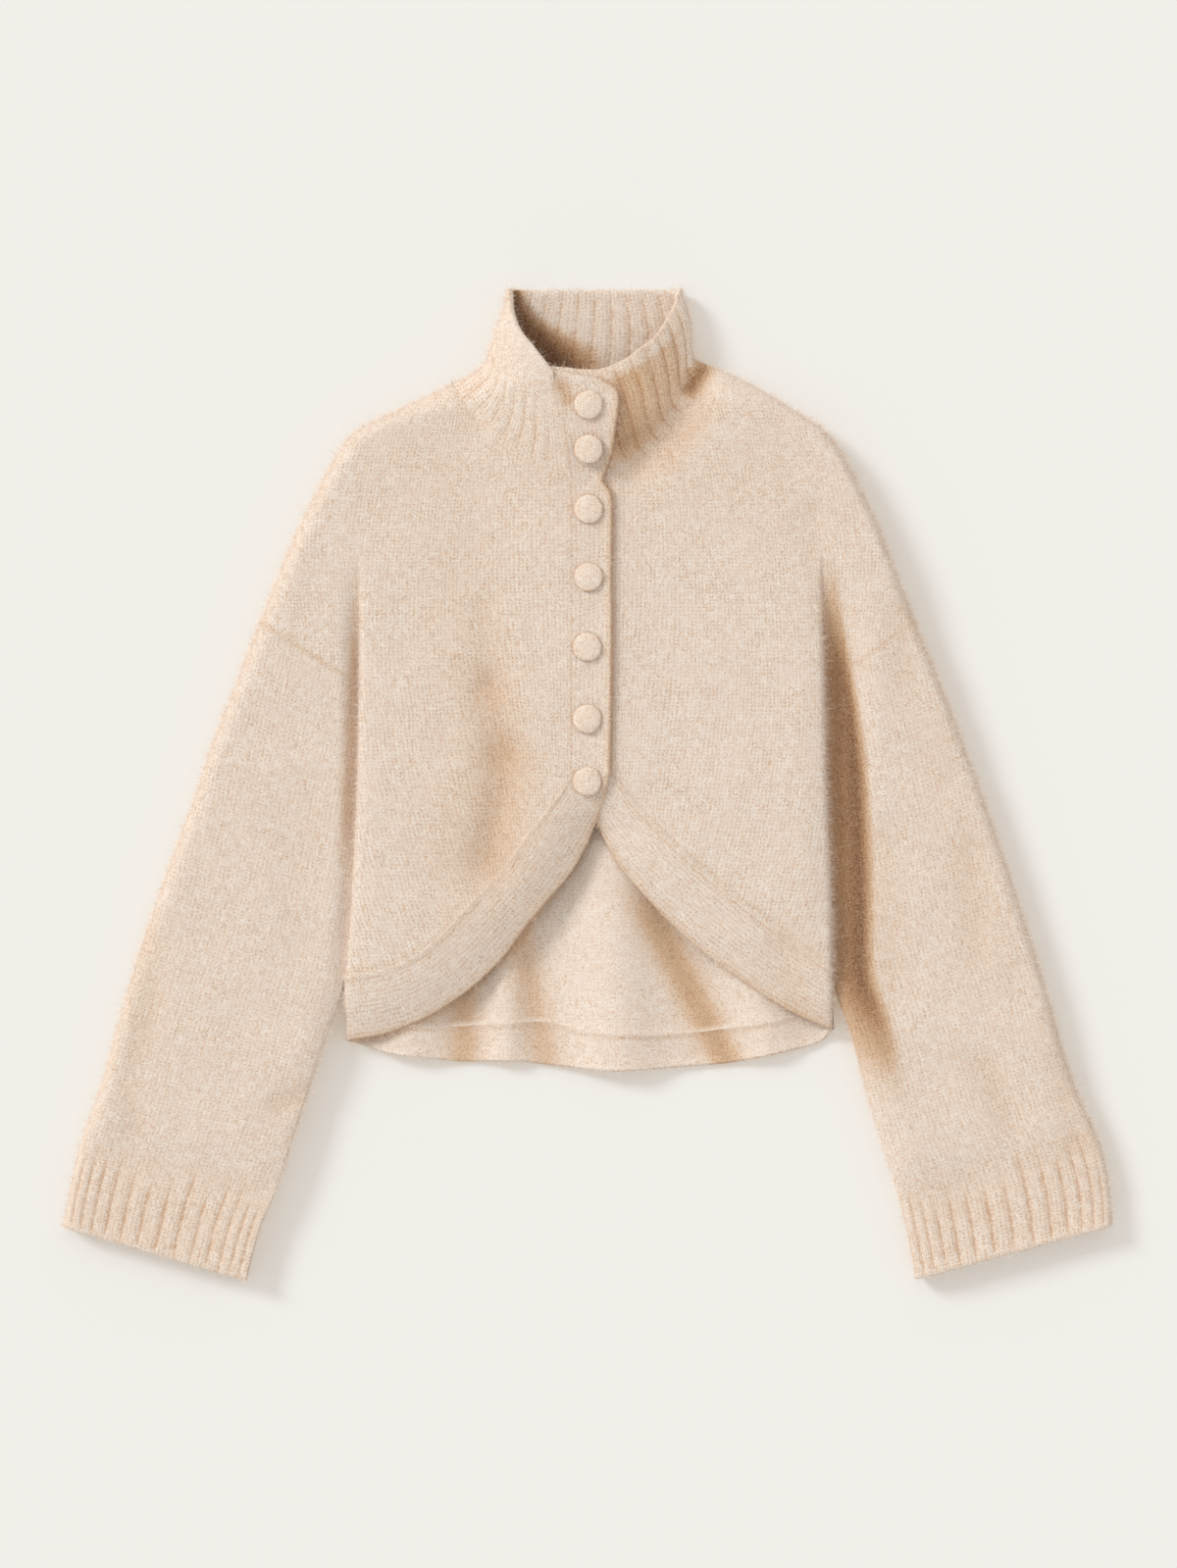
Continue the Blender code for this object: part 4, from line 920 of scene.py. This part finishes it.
def makeHair(name, joints):  # one flat hair along z, which tapers to its tip
    places = []
    for n in range(joints):
        t = n / joints
        places += [(x * (1 - hairForm["taper"] * t), hairForm["bow"] * t * t, t) for x in (-0.5, 0.5)]
    places.append((0, hairForm["bow"], 1))
    faces = [(2 * n, 2 * n + 1, 2 * n + 3, 2 * n + 2) for n in range(joints - 1)]
    faces.append((2 * joints - 2, 2 * joints - 1, 2 * joints))
    mesh = bpy.data.meshes.new(name)
    mesh.from_pydata(places, [], faces)
    addLayer(mesh, "along", [(n // 2) / joints for n in range(2 * joints)] + [1.0])
    return bpy.data.objects.new(name, mesh)


ribTree = makeRibTree()
fibreTree = makeFibreTree()
hairs = {"short": makeHair("shortHair", 2), "long": makeHair("longHair", 5)}
pieces = {}
print("node trees made")


# the fronts and the back

# widths that the rows of places are spaced for, and the painted shade along the seams
frontSizes = {"armWidth": 70, "upperEdge": 16, "lowerEdge": 9, "seamShade": 0.12, "armholeShade": 0.16}


def makeFront(side):
    layer, size = (1 if side < 0 else 0), frontSizes
    body = lay(fronts[side][0], upper, layer)
    addPaintedShade(body, -2, size["seamShade"])
    _, shares = bodyHeights(side, 0)
    across = spread(size["armWidth"], size["upperEdge"], size["upperEdge"])
    arm = lay(armPlan(side, shares, across), upper, layer)
    run, armRun = runAcross(body["place"]), runAcross(arm["place"])
    for grid in (body, arm):
        grid["out"] = filled(grid, "out")
    body["out"][-1] = cloth["seamRidge"]
    addPaintedShade(arm, -1, size["armholeShade"])
    knitSpots(body, side * (run[:, -1:] - run), body["place"][..., 1])
    knitSpots(arm, side * (run[:len(shares), -1:] + armRun[:, -1:] - armRun), arm["place"][..., 1])
    return makeWall("front_" + sides[side], [body, arm], [plainKnit, reverseKnit])


def makeBack():
    body = lay(rear[0], lower)
    body["into"] = filled(body, "into")
    body["into"][-1] = cloth["underRidge"] * cloth["seamRidge"]
    body["valley"][-1] = 0
    grids = [body]
    for side in sides:
        _, shares = bodyHeights(side, 0)
        across = spread(frontSizes["armWidth"], frontSizes["lowerEdge"], frontSizes["lowerEdge"])
        grids.append(lay(armPlan(side, shares, across), lower))
    for grid in grids:
        knitSpots(grid, grid["place"][..., 0], grid["place"][..., 1])
    return makeWall("back", grids, [plainKnit, reverseKnit])


for side in sides:
    pieces["front_" + sides[side]] = makeFront(side)
pieces["back"] = makeBack()
print("fronts and back laid")


# sleeves and cuffs: rings over the upper cloth and back under the lower one

sleeveSizes = {"width": 140, "upperEdge": 20, "lowerEdge": 9, "lowerStep": 5.5, "seamShade": 0.2}
cuffSizes = {"ribs": 14, "squeeze": 0.06, "ribDepth": 0.85, "ribSwell": 0.2, "narrowness": 3.0, "columnsPerRib": 9,
             "rowStep": 3, "length": 64, "rimRoll": 0.9, "rollWidth": 5, "ribStart": (-0.04, 0.2), "shade": 0.05}


def makeRing(side, inner, outerEdge, across, under):
    over = lay(ruled(inner, outerEdge, across), upper)
    below = lay(ruled(outerEdge, inner, under), lower)
    # both meet at the edges, where the ring passes from one to the other
    for mine, theirs, near, far in ((-1, 0, -2, 1), (0, -1, 1, -2)):
        for key in ("place", "valley"):
            below[key][:, theirs] = over[key][:, mine]
        shared = unit(over["normal"][:, near] + below["normal"][:, far])
        over["normal"][:, mine] = below["normal"][:, theirs] = shared
    return joinColumns(over, {key: below[key][:, 1:] for key in below})


def makeSleeve(side):
    ends, size = cuffEnds[side], sleeveSizes
    shares = spread(marks["armholeOut"] - ends["seamOut"])
    inner, outerEdge = armLines(side, (marks["armholeOut"], ends["seamOut"]), (marks["underarm"], ends["seamIn"]),
                                shares)
    across = spread(size["width"], size["upperEdge"], size["upperEdge"])
    under = spread(size["width"], size["lowerEdge"], size["lowerEdge"], size["lowerStep"])
    ring = makeRing(side, inner, outerEdge, across, under)
    # painted shade along the armhole seam
    addPaintedShade(ring, 0, size["seamShade"])
    run = runAcross(ring["place"])
    top = len(across) // 2
    knitSpots(ring, side * (run - run[:, top:top + 1]), -runAlong(ring["place"])[:, top:top + 1])
    return makeWall("sleeve_" + sides[side], [ring], [fuzzyKnit, reverseKnit])


def pressRibs(thing, size):
    return applyTree(thing, ribTree, {"Depth": size["ribDepth"] * mm, "Narrowness": size["narrowness"],
                                      "Swell": size["ribSwell"] * mm})


def makeCuff(side):
    ends, size = cuffEnds[side], cuffSizes
    shares = spread(ends["seamOut"] - ends["endOut"], 0, 0, size["rowStep"])
    inner, outerEdge = armLines(side, (ends["seamOut"], ends["endOut"]), (ends["seamIn"], ends["endIn"]), shares)
    ribs, per = size["ribs"], size["columnsPerRib"]
    even = np.linspace(0, 1, ribs * per + 1)
    across = even - size["squeeze"] * np.sin(2 * math.pi * even)
    ring = makeRing(side, inner, outerEdge, across, across)
    phase = np.tile(np.linspace(0, 2 * ribs, 2 * ribs * per + 1), (len(shares), 1))
    ring["ribPhase"] = phase
    # each groove begins at a height of its own, and all of them end at the rolled rim
    starts = np.random.default_rng(8 + side).uniform(*size["ribStart"], 2 * ribs + 1)
    down = shares[:, None]
    ring["ribMask"] = blend(down - starts[np.round(phase).astype(int)], 0, 0.3) * (1 - 0.85 * blend(down, 0.9, 0.1))
    ring["bulge"] = filled(ring, "bulge", cloth["seamBulge"])
    ring["bulge"][-1] = cloth["edgeBulge"]
    ring["valley"] = ring["valley"] + size["shade"]
    ring["out"] = size["rimRoll"] * bell((1 - down) * size["length"], size["rollWidth"]) * np.ones_like(phase)
    knitSpots(ring, phase * 4 * knitLook["stitchWide"], -runAlong(ring["place"])[:, :1])
    return pressRibs(makeWall("cuff_" + sides[side], [ring], [ribKnit]), size)


for side in sides:
    pieces["sleeve_" + sides[side]] = makeSleeve(side)
    pieces["cuff_" + sides[side]] = makeCuff(side)
print("sleeves and cuffs laid")


# the collar: left flap, round the left fold, the back, the right fold, right flap

collarSizes = {"leftRibs": 8, "backRibs": 11, "rightRibs": 10, "plainRibs": 2, "columnsPerRib": 9, "ribDepth": 0.95,
               "ribSwell": 0.25, "narrowness": 2.6, "rowStep": 3.0, "rimRoll": 1.7, "rollWidth": 5,
               "innerRoll": (0.8, 4), "frontRibs": 0.55, "backFade": 0.35, "leftFade": 0.88, "footRibs": 0.25,
               "endFade": 0.9, "rimFade": 0.8, "shade": 0.34, "middleShade": (0.24, 28, 13),
               "footShade": (0.12, 262, 30), "seamShade": (0.35, 0, 14), "fromMouth": (5, 9), "fromOutline": (3, 14),
               "rimShade": (0.04, 0.08, 0.12), "rimBulge": 1.2, "rightBulge": 0.5, "rightFlat": 0.85,
               "coveredTo": (8, 14)}


def makeCollar():
    size = collarSizes
    down = spread(marks["rim"] - backNeck[0][1], 0, 0, size["rowStep"])
    turns = {}
    for side in sides:
        neckY = atX(outer[side], [marks["neckPoint"][side]])[0, 1]
        turns[side] = atShare(between(outer[side], marks["rim"], neckY), 1 - down)
    rimEnds = np.array((mouthEdge[-1][-1], mouthEdge[1][-1]), float)
    underPlacket = np.array((marks["hiddenTop"], *fronts[1][1][::-1]))

    def part(seam, rim, ribs, last, first=None):
        shares = np.linspace(0, 1, ribs * size["columnsPerRib"] + 1)
        columns = ruled(atShare(seam, shares), atShare(rim, shares), down)
        return patch(shares, columns[:, 0], columns[:, -1], columns[0] if first is None else first, last)

    left = lay(part(fronts[-1][1][::-1], through(mouthEdge[-1]), size["leftRibs"], turns[-1]), upper, 1)
    back = lay(part(rear[1], rimEnds, size["backRibs"], turns[1], turns[-1]), lower)
    right = lay(part(underPlacket, through(mouthEdge[1]), size["rightRibs"], turns[1])[:, ::-1], upper, 0)
    for key in back:
        back[key][:, 0], back[key][:, -1] = left[key][:, -1], right[key][:, 0]
    strip = joinColumns(left, {key: back[key][:, 1:-1] for key in back}, right)
    ribs = size["leftRibs"] + size["backRibs"] + size["rightRibs"]
    rows, columns = strip["place"].shape[:2]
    phase = np.tile(np.linspace(0, ribs, columns), (rows, 1))
    strip["ribPhase"] = phase
    run, down = runAlong(strip["place"]), down[:, None]
    fromRim = run[-1:] - run
    onLeft = 1 - blend(phase, size["leftRibs"] - 0.8, 1)
    onBack = (1 - onLeft) * (1 - blend(phase, size["leftRibs"] + size["backRibs"] - 0.2, 1))
    onRight = blend(phase, ribs - size["rightRibs"], 0.5)
    # faint beside the placket and towards the fronts, and gone at the rolled rim
    mask = np.minimum(1, size["footRibs"] + blend(down, 0, 0.2))
    mask = mask * (1 - size["endFade"] * blend(phase, ribs - size["plainRibs"], 0.5))
    mask *= size["frontRibs"] + (1 - size["frontRibs"]) * blend(phase, size["leftRibs"] - 2, 3)
    mask *= blend(phase, 0.3, 1.2) * (1 - size["rimFade"] * (1 - blend(fromRim, 2, 6)))
    mask *= (1 - size["backFade"] * onBack) * (1 - size["leftFade"] * onLeft * blend(down, 0.36, 0.34))
    strip["ribMask"] = mask
    # painted shade: the right side lies in a soft shade between its two pale edges
    x, y = strip["place"][..., 0].ravel(), strip["place"][..., 1].ravel()
    (middle, at, width), (foot, start, length) = size["middleShade"], size["footShade"]
    shade = size["shade"] + middle * bell(x - at, width) + foot * (1 - blend(y, start, length))
    shade *= blend(gapTo(mouthLine[1], x, y), *size["fromMouth"]) * blend(gapTo(outer[1], x, y), *size["fromOutline"])
    least, start, length = size["seamShade"]
    shade *= (least + (1 - least) * blend(neckField(x, y), start, length)) * onRight.ravel()
    strip["valley"] = np.maximum(strip["valley"], shade.reshape(phase.shape))
    # painted shade along the right side's rim
    strip["valley"][-3:] += np.array(size["rimShade"])[:, None] * onRight[-3:]
    covered = onRight * (1 - blend(strip["place"][..., 0], *size["coveredTo"]))
    strip["out"] = size["rimRoll"] * bell(fromRim, size["rollWidth"])
    strip["out"] *= (1 - size["rightFlat"] * onRight) * (1 - covered)
    amount, width = size["innerRoll"]
    strip["into"] = amount * bell(fromRim, width)
    strip["bulge"] = filled(strip, "bulge", cloth["seamBulge"])
    strip["bulge"][-1] = size["rimBulge"] - size["rightBulge"] * onRight[-1]
    strip["bulge"][:, -1] = 1.0
    knitSpots(strip, phase * 4 * knitLook["stitchWide"], run)
    return pressRibs(makeWall("collar", [strip], [ribKnit]), size)


pieces["collar"] = makeCollar()
print("collar laid")


# the bands of the fronts and the hem

bandSizes = {"width": 42, "hemWidth": 30, "rowStep": 5.2, "columns": (0, 8, 3.2, 4), "edgeRoll": 1.2, "rollWidth": 4.5,
             "droop": 12.5, "droopFrom": (-5, 45), "turnFrom": (25, 20), "seamShade": 0.14,
             "edgeShade": (0.06, 0.14, 0.22, 0.32), "hemRaise": (0, 0.8)}


def cornerShares(path):  # a share for each corner of a path, and more on its long stretches
    steps = np.linalg.norm(np.diff(path, axis=0), axis=1)
    shares = [0.0]
    for step, share in zip(steps, np.cumsum(steps) / steps.sum()):
        extra, start = int(step // bandSizes["rowStep"]), shares[-1]
        shares += [start + (share - start) * n / (extra + 1) for n in range(1, extra + 1)] + [share]
    return np.array(shares)


def bandRows(seam, edge, width=bandSizes["width"]):
    return ruled(seam, edge, spread(width, *bandSizes["columns"]))


def straightRows(topSeam, footSeam, edge, split):
    return bandRows(ruled(np.array([topSeam], float), np.array([footSeam], float), split)[0], edge)


def finishBand(name, plan, surface, *layer):
    size, inFront = bandSizes, surface is upper
    grid = lay(plan, surface, *layer)
    run = runAcross(grid["place"])
    middle = plan.shape[1] // 2
    along = runAlong(grid["place"])[:, middle:middle + 1]
    curved = np.full(len(plan), True)
    if inFront:  # the curved part sinks towards the back at its free edge
        share = run / run[:, -1:]
        grid["place"][..., 2] -= size["droop"] * share ** 2 * blend(-plan[..., 1], *size["droopFrom"])
        flat = unit(np.cross(np.gradient(grid["place"], axis=1), np.gradient(grid["place"], axis=0)))
        flat *= np.sign((flat * grid["normal"]).sum(2))[..., None]
        grid["normal"] += (flat - grid["normal"]) * (share * blend(-plan[..., 1], *size["turnFrom"]))[..., None]
        grid["normal"] = unit(grid["normal"])
        # painted shade along the free edge
        grid["valley"][:, -4:] += size["edgeShade"]
        curved = plan[:, 0, 1] < 1
    raised = size["edgeRoll"] * bell(run[:, -1:] - run, size["rollWidth"])
    raised[curved, 0] += cloth["seamRidge"] * (1 if inFront else cloth["underRidge"])
    grid["out" if inFront else "into"] = raised
    # painted shade beside the seam ridge
    addPaintedShade(grid, np.s_[:, 1], size["seamShade"])
    grid["bulge"] = filled(grid, "bulge", cloth["seamBulge"])
    grid["bulge"][:, -1] = grid["bulge"][0] = cloth["edgeBulge"]
    knitSpots(grid, run, along)
    return makeWall(name, [grid], [plainKnit, reverseKnit])


def curvedRows(side):
    split = cornerShares(fronts[side][2])[1:]
    return bandRows(atShare(fronts[side][2], split), atShare(bandLine[side], split))


def makeBandLeft():
    neck, foot = neckSeam[-1][0], fronts[-1][2][0]
    edgeDown = through(placketEdge[::-1])
    split = spread(80)
    aboveNeck = edgeDown[edgeDown[:, 1] >= neck[1] - 1]
    collarPart = straightRows(placketTop[0], neck, atShare(aboveNeck, split), split)
    collarPart[0] = atShare(through(placketTop), spread(bandSizes["width"], *bandSizes["columns"]))
    split = spread(neck[1])[1:]
    edge = atY(edgeDown, (neck[1] - 1) + (placketEdge[0][1] - neck[1] + 1) * split)
    centrePart = straightRows(neck, foot, edge, split)
    return finishBand("band_left", np.concatenate((collarPart, centrePart, curvedRows(-1))), upper, 1)


def makeBandRight():
    neck, foot = neckSeam[1][0], fronts[1][2][0]
    split = spread(neck[1])
    edge = ruled(np.array([marks["hiddenTop"]], float), np.array([bandEdge[1][0]], float), split)[0]
    return finishBand("band_right", np.concatenate((straightRows(neck, foot, edge, split), curvedRows(1))), upper, 0)


def makeHemBand():
    shares = cornerShares(rear[2])
    edge = atShare(through(hemEdge) + bandSizes["hemRaise"], shares)
    return finishBand("back_hem_band", bandRows(atShare(rear[2], shares), edge, bandSizes["hemWidth"]), lower)


pieces["band_left"] = makeBandLeft()
pieces["band_right"] = makeBandRight()
pieces["back_hem_band"] = makeHemBand()
print("bands laid")


# buttons: a low dome under fine knit, gathered at the back

buttonSizes = {"radius": 11.0, "turns": 48, "float": 0.5, "back": -0.7, "top": 3.3, "tilt": 0.12,
               "puff": [(0.012, 3, 1), (0.008, 7, 2)], "fuzzTo": 1.5, "shade": (0.05, 0.65), "shadeFrom": (1.9, 1.2),
               "at": [(0, 287), (0, 253.5), (0, 208.5), (0, 157), (-1, 104), (-1, 49.5), (-1, 2)],
               # from the back's gathered middle over the edge to the top: radius share and height
               "profile": [(0.5, -0.7), (0.8, -0.6), (0.93, -0.2), (0.985, 0.3), (1.0, 0.8), (0.985, 1.35),
                           (0.94, 1.85), (0.86, 2.3), (0.75, 2.65), (0.62, 2.9), (0.47, 3.1), (0.31, 3.22),
                           (0.15, 3.28)]}


def makeButton(number, at):
    size, count, name = buttonSizes, buttonSizes["turns"], f"button_{number}"
    turn = np.linspace(0, 2 * math.pi, count, endpoint=False)
    ring = np.column_stack((np.cos(turn), np.sin(turn)))
    centre = np.array(at, float)
    floor = upper(centre + size["radius"] * ring, 1)[0][:, 2].max() + size["float"]
    shift = np.random.default_rng(40 + number).uniform(0, 6)
    puff = 1 + sum(amount * np.sin(bumps * turn + times * shift) for amount, bumps, times in size["puff"])
    places = []
    for share, rise in size["profile"]:
        flat = centre + size["radius"] * share * ring * puff[:, None]
        places.append(np.column_stack((flat, floor + rise + size["tilt"] * np.sin(2 * turn + shift))))
    places = np.vstack(places + [[*centre, floor + size["back"]], [*centre, floor + size["top"]]])
    last = (len(size["profile"]) - 1) * count
    after = [(n + 1) % count for n in range(count)]
    faces = [(level + n, level + after[n], level + count + after[n], level + count + n)
             for level in range(0, last, count) for n in range(count)]
    for n in range(count):
        faces += [(len(places) - 2, after[n], n), (last + n, last + after[n], len(places) - 1)]
    mesh = bpy.data.meshes.new(name)
    mesh.from_pydata((places * mm).tolist(), [], faces)
    corner = np.empty(len(mesh.loops), int)
    mesh.loops.foreach_get("vertex_index", corner)
    mesh.uv_layers.new(name="knitMap").data.foreach_set("uv", (places[:, :2] - centre)[corner].ravel())
    addLayer(mesh, "fuzz", np.clip((places[:, 2] - floor) / size["fuzzTo"], 0, 1))
    # painted shade round the button's lower edge
    (least, more), (start, depth) = size["shade"], size["shadeFrom"]
    addLayer(mesh, "valley", least + more * np.clip((floor + start - places[:, 2]) / depth, 0, 1))
    mesh.materials.append(buttonKnit)
    mesh.shade_smooth()
    return newObject(name, mesh)


for number, at in enumerate(buttonSizes["at"], 1):
    pieces[f"button_{number}"] = makeButton(number, at)
print("buttons made")


# brushed hair over everything

hairSizes = {"short": {"perSquareMm": 0.42, "length": 7.5, "width": 0.2, "lean": 1.25, "curl": 7.0},
             "long": {"perSquareMm": 0.012, "length": 17.0, "width": 0.13, "lean": 1.0, "curl": 16.0},
             "share": {"sleeve_left": 1.25, "sleeve_right": 1.25, "back": 0.55, "button": 1.2}, "onButton": 0.55}
hairPieces = {}


def brush(name, seed):
    onButton = name.startswith("button")
    share = hairSizes["share"].get("button" if onButton else name, 1.0)
    shrink = hairSizes["onButton"] if onButton else 1.0
    made = []
    for kind in ["short"] if onButton else ["short", "long"]:
        size = hairSizes[kind]
        values = {"Density": size["perSquareMm"] * 1e6 * share, "Length": size["length"] * shrink * mm,
                  "Width": size["width"] * mm, "Lean": size["lean"], "Curl": size["curl"] * shrink * mm, "Seed": seed,
                  "Hair": hairs[kind], "Material": looseHair}
        made.append(applyTree(pieces[name], fibreTree, values, f"{name}_{kind}_hair"))
    return made


for seed, name in enumerate(pieces, 11):
    hairPieces[name] = brush(name, seed)
for hair in hairs.values():
    bpy.data.objects.remove(hair)
print("hair brushed up")


# hide the CAD parts and attach every piece and its hair to the root body

for name, thing in pieces.items():
    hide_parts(name)
    for piece in [thing] + hairPieces[name]:
        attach(piece, "root")


# floor, light and camera, in metres and degrees

stageSizes = {"distance": 3.0, "fieldWidth": 0.9, "sensor": 36, "farthest": 50, "floorHalf": 6, "floorDrop": 0.0002,
              "floor": (0.585, 0.625, 0.645, 1), "floorGlow": (0.258, 0.196, 0.142, 1), "sky": 0.78,
              "skyColour": (1.0, 0.985, 0.965, 1), "sun": 1.85, "sunHeight": 31, "sunFrom": 145, "sunSoft": 17,
              "bounces": 14, "softBounces": 12}


def makeStage():
    size, scene = stageSizes, bpy.context.scene
    half = size["floorHalf"]
    mesh = bpy.data.meshes.new("floor")
    mesh.from_pydata([(-half, -half, 0), (half, -half, 0), (half, half, 0), (-half, half, 0)], [], [(0, 1, 2, 3)])
    floor = newObject("floor", mesh)
    floor.location.z = -size["floorDrop"]
    material, tree = newMaterial("matt light table")  # lit a little from below, so that shadows stay pale
    endMaterial(tree, {"Base Color": size["floor"], "Roughness": 1.0, "Specular IOR Level": 0.0,
                       "Emission Color": size["floorGlow"], "Emission Strength": 1.0})
    mesh.materials.append(material)

    world = bpy.data.worlds.new("soft studio")
    world.use_nodes = True
    background = world.node_tree.nodes["Background"]
    background.inputs[0].default_value = size["skyColour"]
    background.inputs[1].default_value = size["sky"]
    scene.world = world

    sun = bpy.data.lights.new("window", "SUN")
    sun.energy = size["sun"]
    sun.angle = math.radians(size["sunSoft"])
    up, around = math.radians(size["sunHeight"]), math.radians(size["sunFrom"])
    towards = Vector((-math.cos(around) * math.cos(up), -math.sin(around) * math.cos(up), -math.sin(up)))
    newObject("window", sun).rotation_euler = towards.to_track_quat("-Z", "Y").to_euler()

    lens = bpy.data.cameras.new("overhead")
    lens.sensor_fit = "HORIZONTAL"
    lens.sensor_width = size["sensor"]
    lens.lens = size["sensor"] * size["distance"] / size["fieldWidth"]
    lens.clip_end = size["farthest"]
    camera = newObject("overhead", lens)
    camera.location = (0, 0, size["distance"] + cloth["fold"] * mm)
    scene.camera = camera
    scene.view_settings.view_transform = "Standard"
    # pale cloth passes light on many times, which warms its shade
    scene.cycles.max_bounces, scene.cycles.diffuse_bounces = size["bounces"], size["softBounces"]


makeStage()
print("stage set")
